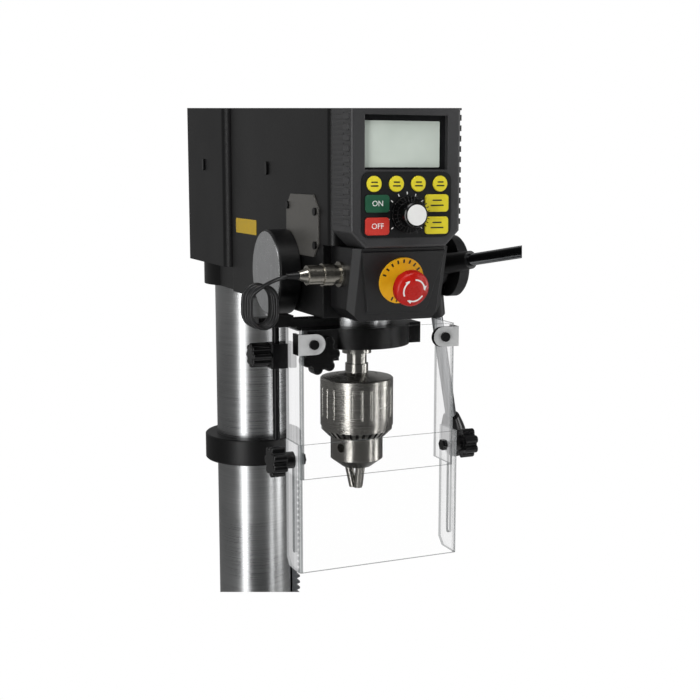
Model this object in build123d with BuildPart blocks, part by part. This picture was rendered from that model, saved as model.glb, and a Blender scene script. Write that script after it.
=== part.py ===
"""Floor-standing drill press with an electronic head, a keyed chuck and a two-piece chuck guard.

Millimetres, +Z up, front towards -Y, origin on the floor at the centre of the base's anchor holes.
"""
import os
from math import acos, cos, pi, radians, sin, tan

from build123d import *

os.makedirs("parts", exist_ok=True)

# ---------------------------------------------------------------- main places
COLUMN_DIAMETER = 73.0
THROAT = 228.5                      # spindle axis to the face of the column
SPINDLE_Y = -115.0
COLUMN_RADIUS = COLUMN_DIAMETER / 2
COLUMN_Y = SPINDLE_Y + THROAT + COLUMN_RADIUS
HEAD_BOTTOM = 1328.0
TABLE_TOP = 880.0

RUNNING = 0.05                      # radial clearance of a shaft in its bore
GAP = 0.3                           # space between parts that pass each other
SLIDE_GAP = 0.2                     # space beside a part that slides between flat faces

# ---------------------------------------------------------------- base, flange, column
BASE_WIDTH = 430.0
BASE_LENGTH = 560.0
BASE_HEIGHT = 45.0
BASE_PLATE = 14.0
BASE_WALL = 14.0
BASE_CORNER = 35.0
BASE_EDGE = 5.0
BASE_RIB = 12.0
ANCHOR_SPACING_X = 360.0
ANCHOR_SPACING_Y = 490.0
ANCHOR_HOLE_RADIUS = 6.5
ANCHOR_BOSS_RADIUS = 22.0
BASE_SLOT_SPACING = 200.0
BASE_SLOT_LENGTH = 140.0
BASE_SLOT_WIDTH = 16.0
PAD_RISE = 8.0
PAD_RADIUS = 98.0
BASE_TOP = BASE_HEIGHT + PAD_RISE

FLANGE_RADIUS = 94.0
FLANGE_THICKNESS = 18.0
FLANGE_HEIGHT = 80.0
FLANGE_SLEEVE_RADIUS = 50.0
FLANGE_FILLET = 6.0
BOLT_CIRCLE = 146.0
BOLT_COUNT = 4
BOLT_RADIUS = 6.0
BOLT_HEAD_ACROSS = 18.0
BOLT_HEAD_HEIGHT = 8.0
BOLT_DEPTH = 22.0
WASHER_RADIUS = 12.0
WASHER_THICKNESS = 2.5
COLUMN_WALL = 5.0
SOCKET_DEPTH = 122.0
COLUMN_TOP_SPACE = 4.0

# ---------------------------------------------------------------- rack on the column
RACK_MODULE = 2.0
RACK_WIDTH = 22.0
RACK_BACK = COLUMN_RADIUS + GAP
RACK_BODY = 7.2
RACK_TONGUE_LENGTH = 6.0
RACK_TONGUE = 4.7
RACK_GROOVE_DEPTH = 8.0
RACK_GROOVE_WIDTH = 8.0
RACK_GROOVE_RADIUS = COLUMN_RADIUS + RACK_GROOVE_WIDTH
COLLAR_DROP = 152.0                 # from the head's underside to the top of the rack collar
COLLAR_HEIGHT = 25.5
COLLAR_WALL = 12.0
GEAR_PRESSURE_ANGLE = radians(20)
GEAR_DEDENDUM = 1.2                 # in modules, below the pitch line
STUB_ADDENDUM = 0.7                 # in modules, of the racks' shortened teeth
BACKLASH = 0.16                     # taken off each tooth's thickness at the pitch line

# ---------------------------------------------------------------- table and its bracket
TABLE_WIDTH = 420.0
TABLE_BACK_GAP = 18.5              # from the table's back edge to the column
TABLE_THICKNESS = 16.0
TABLE_CORNER = 18.0
TABLE_RIM_DEPTH = 34.0
TABLE_RIM_WALL = 12.0
TABLE_EDGE = 2.0
TABLE_RIB_SPACING = 70.0
TABLE_RIB = 8.0
TABLE_SLOT_SPACING_X = 220.0
TABLE_SLOT_SPACING_Y = 220.0
TABLE_SLOT_LENGTH = 120.0
TABLE_SLOT_WIDTH = 14.0
TABLE_HOLE_RADIUS = 22.0
TILT_DROP = 85.0                    # from the table's top to the tilt axis
TILT_SETBACK = 80.0                 # from the spindle axis back to the tilt face
TILT_DISC_RADIUS = 52.0
TILT_DISC_THICKNESS = 18.0
TILT_BOLT_RADIUS = 10.0
TILT_BOLT_REACH = 34.0              # into the table's hub
TILT_HEAD_ACROSS = 30.0
TILT_HEAD_HEIGHT = 12.0
HUB_WEB = 26.0
BRACKET_HEIGHT = 140.0
BRACKET_WALL = 14.0
BRACKET_DROP = 110.0                # from the table's top to the middle of the sleeve
BRACKET_SPLIT = 6.0
BRACKET_EAR = 26.0
BRACKET_EAR_WIDTH = 48.0
BRACKET_EAR_HEIGHT = 44.0
ARM_WIDTH = 60.0
ARM_FOOT_DROP = 40.0
ARM_HEAD_RISE = 30.0
ARM_SIDE = 10.0
LIFT_TEETH = 14
LIFT_SHAFT_RADIUS = 8.0
LIFT_FACE = 20.0
GEARBOX_WALL = 8.0
LIFT_BOSS_STAND = 2.0               # of the shaft boss behind the sleeve
CRANK_GAP = 2.0
SHAFT_END_COVER = 3.0               # left over the end of the shaft in the crank
CRANK_RADIUS = 105.0
CRANK_THICKNESS = 10.0
CRANK_WIDTH = 20.0
CRANK_HUB_RADIUS = 15.0
CRANK_HUB_LENGTH = 20.0
GRIP_LENGTH = 74.0
GRIP_RADIUS = 13.0
GRIP_PIN_RADIUS = 4.0
CLAMP_SCREW_RADIUS = 6.0
CLAMP_SCREW_STAND = 8.0             # behind the bracket's ear
CLAMP_HANDLE_OFFSET = 8.0
CLAMP_HANDLE_LENGTH = 92.0
CLAMP_HANDLE_RADIUS = 5.0
CLAMP_BALL_RADIUS = 11.0

# ---------------------------------------------------------------- head casting and covers
HEAD_HALF_WIDTH = 45.0
HEAD_FRONT_REACH = 55.0
HEAD_REAR_REACH = 189.0
HEAD_FRONT = SPINDLE_Y - HEAD_FRONT_REACH
HEAD_REAR = SPINDLE_Y + HEAD_REAR_REACH
HEAD_CORNER = 6.0
HEAD_WALL = 7.0
HEAD_FLOOR = 10.0
SOCKET_WALL = 10.5
SOCKET_WEB = 80.0
COVER_HALF_WIDTH = 50.5
COVER_LENGTH = 127.0
COVER_REAR = HEAD_REAR + COVER_LENGTH
COVER_BOTTOM_RISE = 22.0
COVER_WALL = 2.5
COVER_CORNER = 7.0
LID_THICKNESS = 6.0
LID_OVERHANG = 2.0
HEAD_BOSS_RADIUS = 20.0
HEAD_BOSS_LENGTH = 22.0
PLATE_LENGTH = 69.0
PLATE_HEIGHT = 47.0
PLATE_CORNER = 10.0
PLATE_THICKNESS = 1.2
PLATE_REAR = SPINDLE_Y + 36.0
PLATE_BOTTOM = HEAD_BOTTOM + 45.5
SMALL_SCREW_RADIUS = 3.0
SMALL_SCREW_HEAD = 1.6
SMALL_SCREW_SHANK = 1.6
HEAD_SCREW_SETBACK = 85.0
HEAD_SCREW_RISE = 112.5
COVER_SCREW_SETBACK = 253.0
COVER_SCREW_RISE = 116.0
SLOT_SCREW_LENGTH = 11.0
SLOT_SCREW_WIDTH = 4.2

# ---------------------------------------------------------------- quill, spindle, motor
QUILL_RADIUS = 28.5
QUILL_HANG = 27.0                   # how far the raised quill stands out below the head
QUILL_TOP_RISE = 212.0
QUILL_BORE_SPACE = 20.0             # left above the raised quill
QUILL_BORE_RISE = QUILL_TOP_RISE + QUILL_BORE_SPACE
QUILL_INNER_RADIUS = 15.5
BEARING_OUTER_RADIUS = 23.5
BEARING_WIDTH = 12.0
SPINDLE_RADIUS = 11.75
NOSE_LENGTH = 7.0
ARBOR_RADIUS = 8.0
ARBOR_LENGTH = 8.5
TAPER_LENGTH = 24.0
TAPER_TIP_RADIUS = 7.2
SPINDLE_NUT_RADIUS = 14.5
SPINDLE_NUT_HEIGHT = 8.0
SPLINE_ROOT_RADIUS = 8.0
SPLINE_RADIUS = 10.0
SPLINE_WIDTH = 3.0
SPLINE_COUNT = 6
SPLINE_STAND = 3.0                  # of the splines above the motor
FEED_TEETH = 12
FEED_RISE = 30.0
FEED_RACK_SETBACK = 23.5            # spindle axis to the pitch line of the quill's rack
FEED_RACK_BOTTOM_RISE = 14.0
FEED_RACK_TOP_DROP = 16.0           # from the quill's top to the end of its rack
FEED_RACK_TOP_RISE = QUILL_TOP_RISE - FEED_RACK_TOP_DROP
FEED_FACE = 18.0
FEED_SHAFT_RADIUS = 7.5
FEED_PITCH_RADIUS = RACK_MODULE * FEED_TEETH / 2
FEED_Y = SPINDLE_Y + FEED_RACK_SETBACK + FEED_PITCH_RADIUS
FEED_Z = HEAD_BOTTOM + FEED_RISE
MOTOR_FLOOR_WEB = 8.0
MOTOR_FLOOR_RISE = QUILL_BORE_RISE + MOTOR_FLOOR_WEB
MOTOR_RADIUS = 37.0
MOTOR_LENGTH = 187.0
MOTOR_END = 12.0
ROTOR_RADIUS = 21.7
ROTOR_AIR_GAP = 0.3
ROTOR_SHAFT_RADIUS = 12.5
ROTOR_SHAFT_STAND = 10.0
SPLINE_TOP_RISE = MOTOR_FLOOR_RISE + MOTOR_LENGTH + SPLINE_STAND
HEAD_TOP_SPACE = 35.0               # above the motor
HEAD_HEIGHT = MOTOR_FLOOR_RISE + MOTOR_LENGTH + HEAD_TOP_SPACE
HEAD_TOP = HEAD_BOTTOM + HEAD_HEIGHT

# ---------------------------------------------------------------- feed hub, levers, return spring
HUB_CENTRE_X = 83.0
HUB_CORE_RADIUS = 16.0
HUB_CORE_START = 70.0
HUB_CORE_END = 93.0
HUB_NECK_RADIUS = 9.0
HUB_DISC_START = 98.0
HUB_DISC_END = 108.0
HUB_DISC_RADIUS = 26.0
HUB_END_COVER = 4.0                 # left over the end of the feed shaft
LEVER_SPLAY = radians(18)
LEVER_START_ANGLE = 10.3
LEVER_COUNT = 3
LEVER_BOSS_END = 48.0
LEVER_BOSS_ROOT_RADIUS = 9.5
LEVER_BOSS_TIP_RADIUS = 7.5
LEVER_RADIUS = 5.0
LEVER_ROOT = 26.0
LEVER_END = 172.0
KNOB_START = 160.0
KNOB_END = 205.0
KNOB_RADIUS = 11.5
SPRING_CASE_RADIUS = 27.0
SPRING_CASE_DEPTH = 16.5
SPRING_CASE_WALL = 2.5
SPRING_CAP = 3.0
SPRING_STRIP = 1.2
SPRING_TURNS = 6
SPRING_HUB_RADIUS = 8.3

# ---------------------------------------------------------------- control panel
PANEL_HALF_WIDTH = 43.5
PANEL_FRONT = SPINDLE_Y - 90.5
PANEL_BOTTOM = HEAD_BOTTOM + 55.5
PANEL_TOP = HEAD_BOTTOM + 197.0
PANEL_CHAMFER = 11.5
PANEL_WALL = 3.0
PANEL_FACE = 5.0
PANEL_TRIM_WIDTH = 11.0
PANEL_TRIM_PROUD = 1.5
RIB_PITCH = 7.5
RIB_HEIGHT = 4.2
LCD_WIDTH = 66.0
LCD_HEIGHT = 38.6
LCD_BOTTOM = HEAD_BOTTOM + 111.4
LCD_FRAME = 2.2
LCD_THICKNESS = 3.0
KEYPAD_WIDTH = 71.0
KEYPAD_HEIGHT = 46.7
KEYPAD_BOTTOM = HEAD_BOTTOM + 63.0
KEYPAD_CORNER = 6.0
KEYPAD_THICKNESS = 3.0
KEYPAD_PROUD = 0.8
KEY_GAP = 0.15
KEY_PROUD = 1.2
KEY_THICKNESS = 3.2
SOFT_KEY_RADIUS = 5.7
SOFT_KEY_PITCH = 17.5
SOFT_KEY_Z = HEAD_BOTTOM + 101.3
WIDE_KEY_WIDTH = 18.8
WIDE_KEY_HEIGHT = 12.6
WIDE_KEY_CORNER = 2.5
WIDE_KEY_X = 23.7
WIDE_KEY_UPPER_Z = HEAD_BOTTOM + 87.3
WIDE_KEY_LOWER_Z = HEAD_BOTTOM + 71.2
DIAL_Z = HEAD_BOTTOM + 79.5
DIAL_SKIRT_RADIUS = 13.2
DIAL_SKIRT = 3.5
DIAL_RADIUS = 9.2
DIAL_LENGTH = 15.5
ENCODER_RADIUS = 3.0

# ---------------------------------------------------------------- emergency stop
STOP_HALF_WIDTH = 38.5
STOP_BACK = SPINDLE_Y - 40.0
STOP_TOP_FRONT = SPINDLE_Y - 86.4
STOP_BOTTOM_FRONT = SPINDLE_Y - 72.0
STOP_BOTTOM = HEAD_BOTTOM + 0.5
STOP_CORNER = 5.0
STOP_LOWER_CORNER = 9.0
STOP_WALL = 3.0
STOP_CENTRE_Z = HEAD_BOTTOM + 31.5
STOP_PLATE_TOP_HALF = 33.5
STOP_PLATE_BOTTOM_HALF = 24.0
STOP_PLATE_TOP_RISE = 22.0
STOP_PLATE_BOTTOM_DROP = 25.5
STOP_PLATE_THICKNESS = 1.5
STOP_RING_RADIUS = 17.5
STOP_RING_THICKNESS = 1.5
STOP_STEM_RADIUS = 5.0
STOP_CAP_RADIUS = 13.2
STOP_CAP_BASE = 6.0
STOP_CAP_HEIGHT = 17.4
STOP_COLLAR_RADIUS = 8.0
STOP_STEM_DEPTH = 24.0
STOP_BLOCK_RADIUS = 10.0

# ---------------------------------------------------------------- plug and guard cable
PLUG_Y = SPINDLE_Y - 60.0
PLUG_Z = HEAD_BOTTOM + 35.0
PLUG_FLANGE_RADIUS = 9.5
PLUG_FLANGE = 2.5
PLUG_THREAD_RADIUS = 7.0
PLUG_THREAD_END = 46.0
PLUG_NUT_RADIUS = 8.5
PLUG_NUT_END = 54.0
PLUG_BODY_RADIUS = 7.3
PLUG_BODY_END = 66.0
PLUG_GLAND_RADIUS = 5.6
PLUG_GLAND_TIP_RADIUS = 3.2
PLUG_GLAND_END = 72.0
CABLE_RADIUS = 1.5
COIL_CENTRE = (-91.5, SPINDLE_Y - 24.0, HEAD_BOTTOM + 9.0)
COIL_WIDTH = 24.0
COIL_HEIGHT = 34.0
COIL_DEPTH = 14.0
COIL_THICKNESS = 7.0
CABLE_ROUTE = [
    (-PLUG_GLAND_END, PLUG_Y, PLUG_Z),
    (-82.0, PLUG_Y, PLUG_Z),
    (-88.5, PLUG_Y + 7.5, PLUG_Z - 4.5),
    (-91.5, PLUG_Y + 18.0, PLUG_Z - 9.0),
    (-92.0, COIL_CENTRE[1] - COIL_DEPTH / 2 - GAP, PLUG_Z - 11.5),
]

# ---------------------------------------------------------------- chuck
CHUCK_TOP = HEAD_BOTTOM - QUILL_HANG - NOSE_LENGTH - ARBOR_LENGTH
CHUCK_NECK_RADIUS = 9.3
CHUCK_NECK = 7.5
CHUCK_CONE = 1.4
CHUCK_CONE_RADIUS = 16.5
CHUCK_CORE_RADIUS = 24.7
CHUCK_SLEEVE_RADIUS = 29.5
CHUCK_SLEEVE_DROP = 11.0            # from the chuck's top to the sleeve's top edge
CHUCK_SLEEVE_HEIGHT = 38.7
CHUCK_SLEEVE_BEVEL = 7.0
CHUCK_BAND_STEP = 0.8               # the plain band above the teeth
CHUCK_BAND_HEIGHT = 3.6
CHUCK_TEETH_HEIGHT = 5.4
CHUCK_TOOTH_WALL = 1.8
CHUCK_TOOTH_WIDTH = 2.4
CHUCK_TEETH_COUNT = 32
CHUCK_NOSE_RADIUS = 21.2
CHUCK_NOSE_DROP = 84.5
CHUCK_NOSE_TAPER = 7.0
CHUCK_FACE_RADIUS = 11.8
CHUCK_LENGTH = 102.5
KEY_HOLE_RADIUS = 3.6
KEY_HOLE_DROP = 66.5
KEY_HOLE_DEPTH = 9.0
JAW_COUNT = 3
JAW_RADIUS = 3.4
JAW_TIP_OFFSET = 2.6
JAW_TILT = radians(12)
JAW_LENGTH = 46.0
JAW_HALF_GAP = 0.12
JAW_TRAVEL = 38.5
FLUTE_COUNT = 24
FLUTE_RADIUS = 1.2
FLUTE_HEIGHT = 24.0

# ---------------------------------------------------------------- guard and its mount
RING_RADIUS = 42.0
RING_TOP_DROP = 9.5
RING_HEIGHT = 16.5
LUG_END = 48.0
LUG_WIDTH = 18.0
LUG_Y = SPINDLE_Y - 9.0
ARM_LEFT = 76.0
ARM_WAIST = 58.0
ARM_Y = SPINDLE_Y - 10.0
ARM_DEPTH = 16.0
ARM_TOP_DROP = 2.5
ARM_THICKNESS = 5.6
ARM_TIP_START = 60.6
ARM_TIP_END = 73.0
ARM_TIP_RISE = 0.8
ARM_HOLE_X = -48.0
ARM_HOLE_RADIUS = 2.6
POST_X = -72.5
POST_RADIUS = 2.7
POST_TOP_DROP = 1.5
POST_BOTTOM_DROP = 98.0
SWITCH_LENGTH = 12.0
SWITCH_DEPTH = 12.0
SWITCH_TOP_DROP = 0.5
SWITCH_HEIGHT = 7.5
SWITCH_GLAND_X = -84.5
SWITCH_GLAND_RADIUS = 2.2
SHEET = 2.2
SHEET_BEND = 3.0
UPPER_HALF_WIDTH = 65.5
UPPER_FRONT = SPINDLE_Y - 44.5
UPPER_BACK = SPINDLE_Y - 13.5
UPPER_TOP_DROP = 8.4
UPPER_HEIGHT = 114.3
LOWER_BACK = SPINDLE_Y - 19.0
LOWER_TOP_DROP = 95.0
LOWER_HEIGHT = 100.5
SLOT_Y = SPINDLE_Y - 35.0
SLOT_LENGTH = 76.6
SLOT_WIDTH = 5.2
SLOT_TOP_DROP = 105.4
GUARD_STUD_RADIUS = 2.5
GUARD_STUD_DROP = 108.2
GUARD_NUT_ACROSS = 8.0
GUARD_NUT_THICKNESS = 4.0
STAR_RADIUS = 12.0
STAR_LOBES = 7
STAR_THICKNESS = 11.0
STAR_HUB_RADIUS = 6.5
STAR_HUB_LENGTH = 8.0
TAB_WIDTH = 15.0
TAB_HEIGHT = 15.8
TAB_THICKNESS = 2.0
TAB_TOP_DROP = 10.6
TAB_SIDE = 12.0
TAB_BOLT_X = 55.3
TAB_BOLT_RADIUS = 3.7
TAB_BOLT_HEAD = 2.5
TAB_BOLT_SHANK = 2.0
CLAMP_LEFT = 78.5
CLAMP_RIGHT = 58.0
CLAMP_TOP_DROP = 21.0
CLAMP_HEIGHT = 19.0
POST_KNOB_RADIUS = 9.6
POST_KNOB_LOBES = 8
POST_KNOB_THICKNESS = 15.0
POST_KNOB_DROP = 29.5
POST_KNOB_SCREW = 2.0
COLLAR_KNOB_X = -46.8
COLLAR_KNOB_DROP = 27.5
COLLAR_KNOB_FRONT = SPINDLE_Y - 40.5
COLLAR_KNOB_BACK = SPINDLE_Y - 30.5
COLLAR_KNOB_RADIUS = 15.8
COLLAR_KNOB_LOBES = 7
COLLAR_KNOB_SCREW = 3.0
COLLAR_EAR_LEFT = 54.0
COLLAR_EAR_RIGHT = 28.0
COLLAR_EAR_FRONT = SPINDLE_Y - 30.2
COLLAR_EAR_BACK = SPINDLE_Y - 18.2
COLLAR_EAR_HEIGHT = 25.0


# ---------------------------------------------------------------- shared shapes
def involute(angle):
    """Involute function of a pressure angle."""
    return tan(angle) - angle


def flank(module, teeth, radius):
    """Half angle of a gear tooth at a radius, for a tooth centred on angle 0."""
    pitch = module * teeth / 2
    base = pitch * cos(GEAR_PRESSURE_ANGLE)
    half = (pi * module / 2 - BACKLASH) / (2 * pitch) + involute(GEAR_PRESSURE_ANGLE)
    return half - involute(acos(min(1.0, base / radius)))


def gear_face(module, teeth):
    """Spur gear outline as a face, with a tooth on the plane's x direction."""
    pitch = module * teeth / 2
    tip = pitch + module
    root = pitch - GEAR_DEDENDUM * module
    start = max(root + 0.02, pitch * cos(GEAR_PRESSURE_ANGLE))
    radii = [start + (tip - start) * step / 4 for step in range(5)]

    def point(radius, angle):
        return (radius * cos(angle), radius * sin(angle))

    with BuildLine() as outline:
        for tooth in range(teeth):
            middle = 2 * pi * tooth / teeth
            rise = [point(r, middle - flank(module, teeth, r)) for r in radii]
            fall = [point(r, middle + flank(module, teeth, r)) for r in reversed(radii)]
            foot = flank(module, teeth, start)
            after = middle + 2 * pi / teeth - foot
            Line(point(root, middle - foot), rise[0])
            Spline(*rise)
            ThreePointArc(rise[-1], point(tip, middle), fall[0])
            Spline(*fall)
            Line(fall[-1], point(root, middle + foot))
            ThreePointArc(point(root, middle + foot), point(root, middle + pi / teeth), point(root, after))
    make_face(outline.edges())


def rack_face(module, count, back):
    """Rack outline: teeth towards +x from a pitch line at x = 0, a space centred on y = 0."""
    pitch = pi * module
    root = -GEAR_DEDENDUM * module
    tip = STUB_ADDENDUM * module
    slope = tan(GEAR_PRESSURE_ANGLE)
    half = (pitch / 2 - BACKLASH) / 2
    with BuildLine() as outline:
        points = [(-back, -count * pitch / 2), (root, -count * pitch / 2)]
        for tooth in range(count):
            middle = (tooth + 0.5 - count / 2) * pitch
            points.append((root, middle - half + root * slope))
            points.append((tip, middle - half + tip * slope))
            points.append((tip, middle + half - tip * slope))
            points.append((root, middle + half - root * slope))
        points.append((root, count * pitch / 2))
        points.append((-back, count * pitch / 2))
        Polyline(*points, close=True)
    make_face(outline.edges())


def star_face(radius, lobes):
    """Lobed knob outline: a ring of round lobes on a smaller disc."""
    lobe = radius * sin(pi / lobes) * 0.62
    Circle(radius - lobe * 0.9)
    with PolarLocations(radius - lobe, lobes):
        Circle(lobe)


def lever_direction(index):
    """Unit vector of one feed lever, splayed away from the head."""
    turn = radians(LEVER_START_ANGLE - 360 / LEVER_COUNT * index)
    return Vector(sin(LEVER_SPLAY), -cos(LEVER_SPLAY) * cos(turn), cos(LEVER_SPLAY) * sin(turn))


def jaw_plane(index):
    """Plane at a closed jaw's tip with its normal along the jaw, up and outwards."""
    turn = 2 * pi * index / JAW_COUNT + pi / 6
    out = Vector(cos(turn), sin(turn), 0)
    tip = Vector(0, SPINDLE_Y, CHUCK_TOP - CHUCK_LENGTH) + out * JAW_TIP_OFFSET
    along = out * sin(JAW_TILT) + Vector(0, 0, cos(JAW_TILT))
    return Plane(origin=tip, x_dir=out * cos(JAW_TILT) - Vector(0, 0, sin(JAW_TILT)), z_dir=along)


def across(x):
    """Plane facing +X at a given x, with its own x along the row's Y and its y along Z."""
    return Plane(origin=(x, 0, 0), x_dir=(0, 1, 0), z_dir=(1, 0, 0))


def facing(y):
    """Plane facing -Y at a given y, with its own x along the row's X and its y along Z."""
    return Plane(origin=(0, y, 0), x_dir=(1, 0, 0), z_dir=(0, -1, 0))


def spindle_level(z):
    """Horizontal plane centred on the spindle axis."""
    return Plane(origin=(0, SPINDLE_Y, z))


def column_level(z):
    """Horizontal plane centred on the column axis."""
    return Plane(origin=(0, COLUMN_Y, z))


# ================================================================ stand
with BuildPart() as base:
    with BuildSketch():
        RectangleRounded(BASE_WIDTH, BASE_LENGTH, BASE_CORNER)
    extrude(amount=BASE_HEIGHT)
    chamfer(base.faces().sort_by(Axis.Z)[-1].edges(), BASE_EDGE)
    with BuildSketch():
        RectangleRounded(BASE_WIDTH - 2 * BASE_WALL, BASE_LENGTH - 2 * BASE_WALL, BASE_CORNER - BASE_WALL)
    extrude(amount=BASE_HEIGHT - BASE_PLATE, mode=Mode.SUBTRACT)
    with BuildSketch():
        with Locations((0, COLUMN_Y)):
            Circle(PAD_RADIUS)
        with GridLocations(ANCHOR_SPACING_X, ANCHOR_SPACING_Y, 2, 2):
            Circle(ANCHOR_BOSS_RADIUS)
        Rectangle(BASE_RIB, BASE_LENGTH - BASE_WALL)
        Rectangle(BASE_WIDTH - BASE_WALL, BASE_RIB)
    extrude(amount=BASE_HEIGHT - BASE_PLATE)
    with BuildSketch(column_level(BASE_HEIGHT - BASE_PLATE)):
        Circle(PAD_RADIUS)
    extrude(amount=BASE_PLATE + PAD_RISE)
    with BuildSketch():
        with GridLocations(ANCHOR_SPACING_X, ANCHOR_SPACING_Y, 2, 2):
            Circle(ANCHOR_HOLE_RADIUS)
        with Locations((-BASE_SLOT_SPACING / 2, SPINDLE_Y), (BASE_SLOT_SPACING / 2, SPINDLE_Y)):
            SlotOverall(BASE_SLOT_LENGTH, BASE_SLOT_WIDTH)
    extrude(amount=BASE_HEIGHT, mode=Mode.SUBTRACT)
    with BuildSketch(column_level(BASE_TOP)):
        with PolarLocations(BOLT_CIRCLE / 2, BOLT_COUNT, start_angle=45):
            Circle(BOLT_RADIUS + RUNNING)
    extrude(amount=-BOLT_DEPTH - GAP, mode=Mode.SUBTRACT)
base.part.label = "base"
export_step(base.part, "parts/base.step")

with BuildPart() as column_flange:
    with BuildSketch(column_level(BASE_TOP)):
        Circle(FLANGE_RADIUS)
    extrude(amount=FLANGE_THICKNESS)
    with BuildSketch(column_level(BASE_TOP)):
        Circle(FLANGE_SLEEVE_RADIUS)
    extrude(amount=FLANGE_HEIGHT)
    fillet(column_flange.edges().filter_by(GeomType.CIRCLE).filter_by_position(
        Axis.Z, BASE_TOP + FLANGE_THICKNESS - 0.1, BASE_TOP + FLANGE_THICKNESS + 0.1).sort_by(
        SortBy.RADIUS)[0], FLANGE_FILLET)
    with BuildSketch(column_level(BASE_TOP)):
        Circle(COLUMN_RADIUS)
        with PolarLocations(BOLT_CIRCLE / 2, BOLT_COUNT, start_angle=45):
            Circle(BOLT_RADIUS + RUNNING)
    extrude(amount=FLANGE_HEIGHT, mode=Mode.SUBTRACT)
    with BuildSketch(column_level(BASE_TOP + FLANGE_HEIGHT)):
        Circle(RACK_GROOVE_RADIUS)
    extrude(amount=-RACK_GROOVE_DEPTH, mode=Mode.SUBTRACT)
column_flange.part.label = "column_flange"
export_step(column_flange.part, "parts/column_flange.step")

with BuildPart() as column:
    with BuildSketch(column_level(BASE_TOP)):
        Circle(COLUMN_RADIUS)
        Circle(COLUMN_RADIUS - COLUMN_WALL, mode=Mode.SUBTRACT)
    extrude(amount=HEAD_BOTTOM + SOCKET_DEPTH - COLUMN_TOP_SPACE - BASE_TOP)
column.part.label = "column"
export_step(column.part, "parts/column.step")

COLLAR_TOP = HEAD_BOTTOM - COLLAR_DROP
COLLAR_BOTTOM = COLLAR_TOP - COLLAR_HEIGHT
with BuildPart() as rack_collar:
    with BuildSketch(column_level(COLLAR_BOTTOM)):
        Circle(COLUMN_RADIUS + COLLAR_WALL)
        Circle(COLUMN_RADIUS, mode=Mode.SUBTRACT)
    extrude(amount=COLLAR_HEIGHT)
    chamfer(rack_collar.edges().filter_by(GeomType.CIRCLE).group_by(SortBy.RADIUS)[-1], 1.0)
    with BuildSketch(column_level(COLLAR_BOTTOM)):
        Circle(RACK_GROOVE_RADIUS)
    extrude(amount=RACK_GROOVE_DEPTH, mode=Mode.SUBTRACT)
rack_collar.part.label = "rack_collar"
export_step(rack_collar.part, "parts/rack_collar.step")

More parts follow.
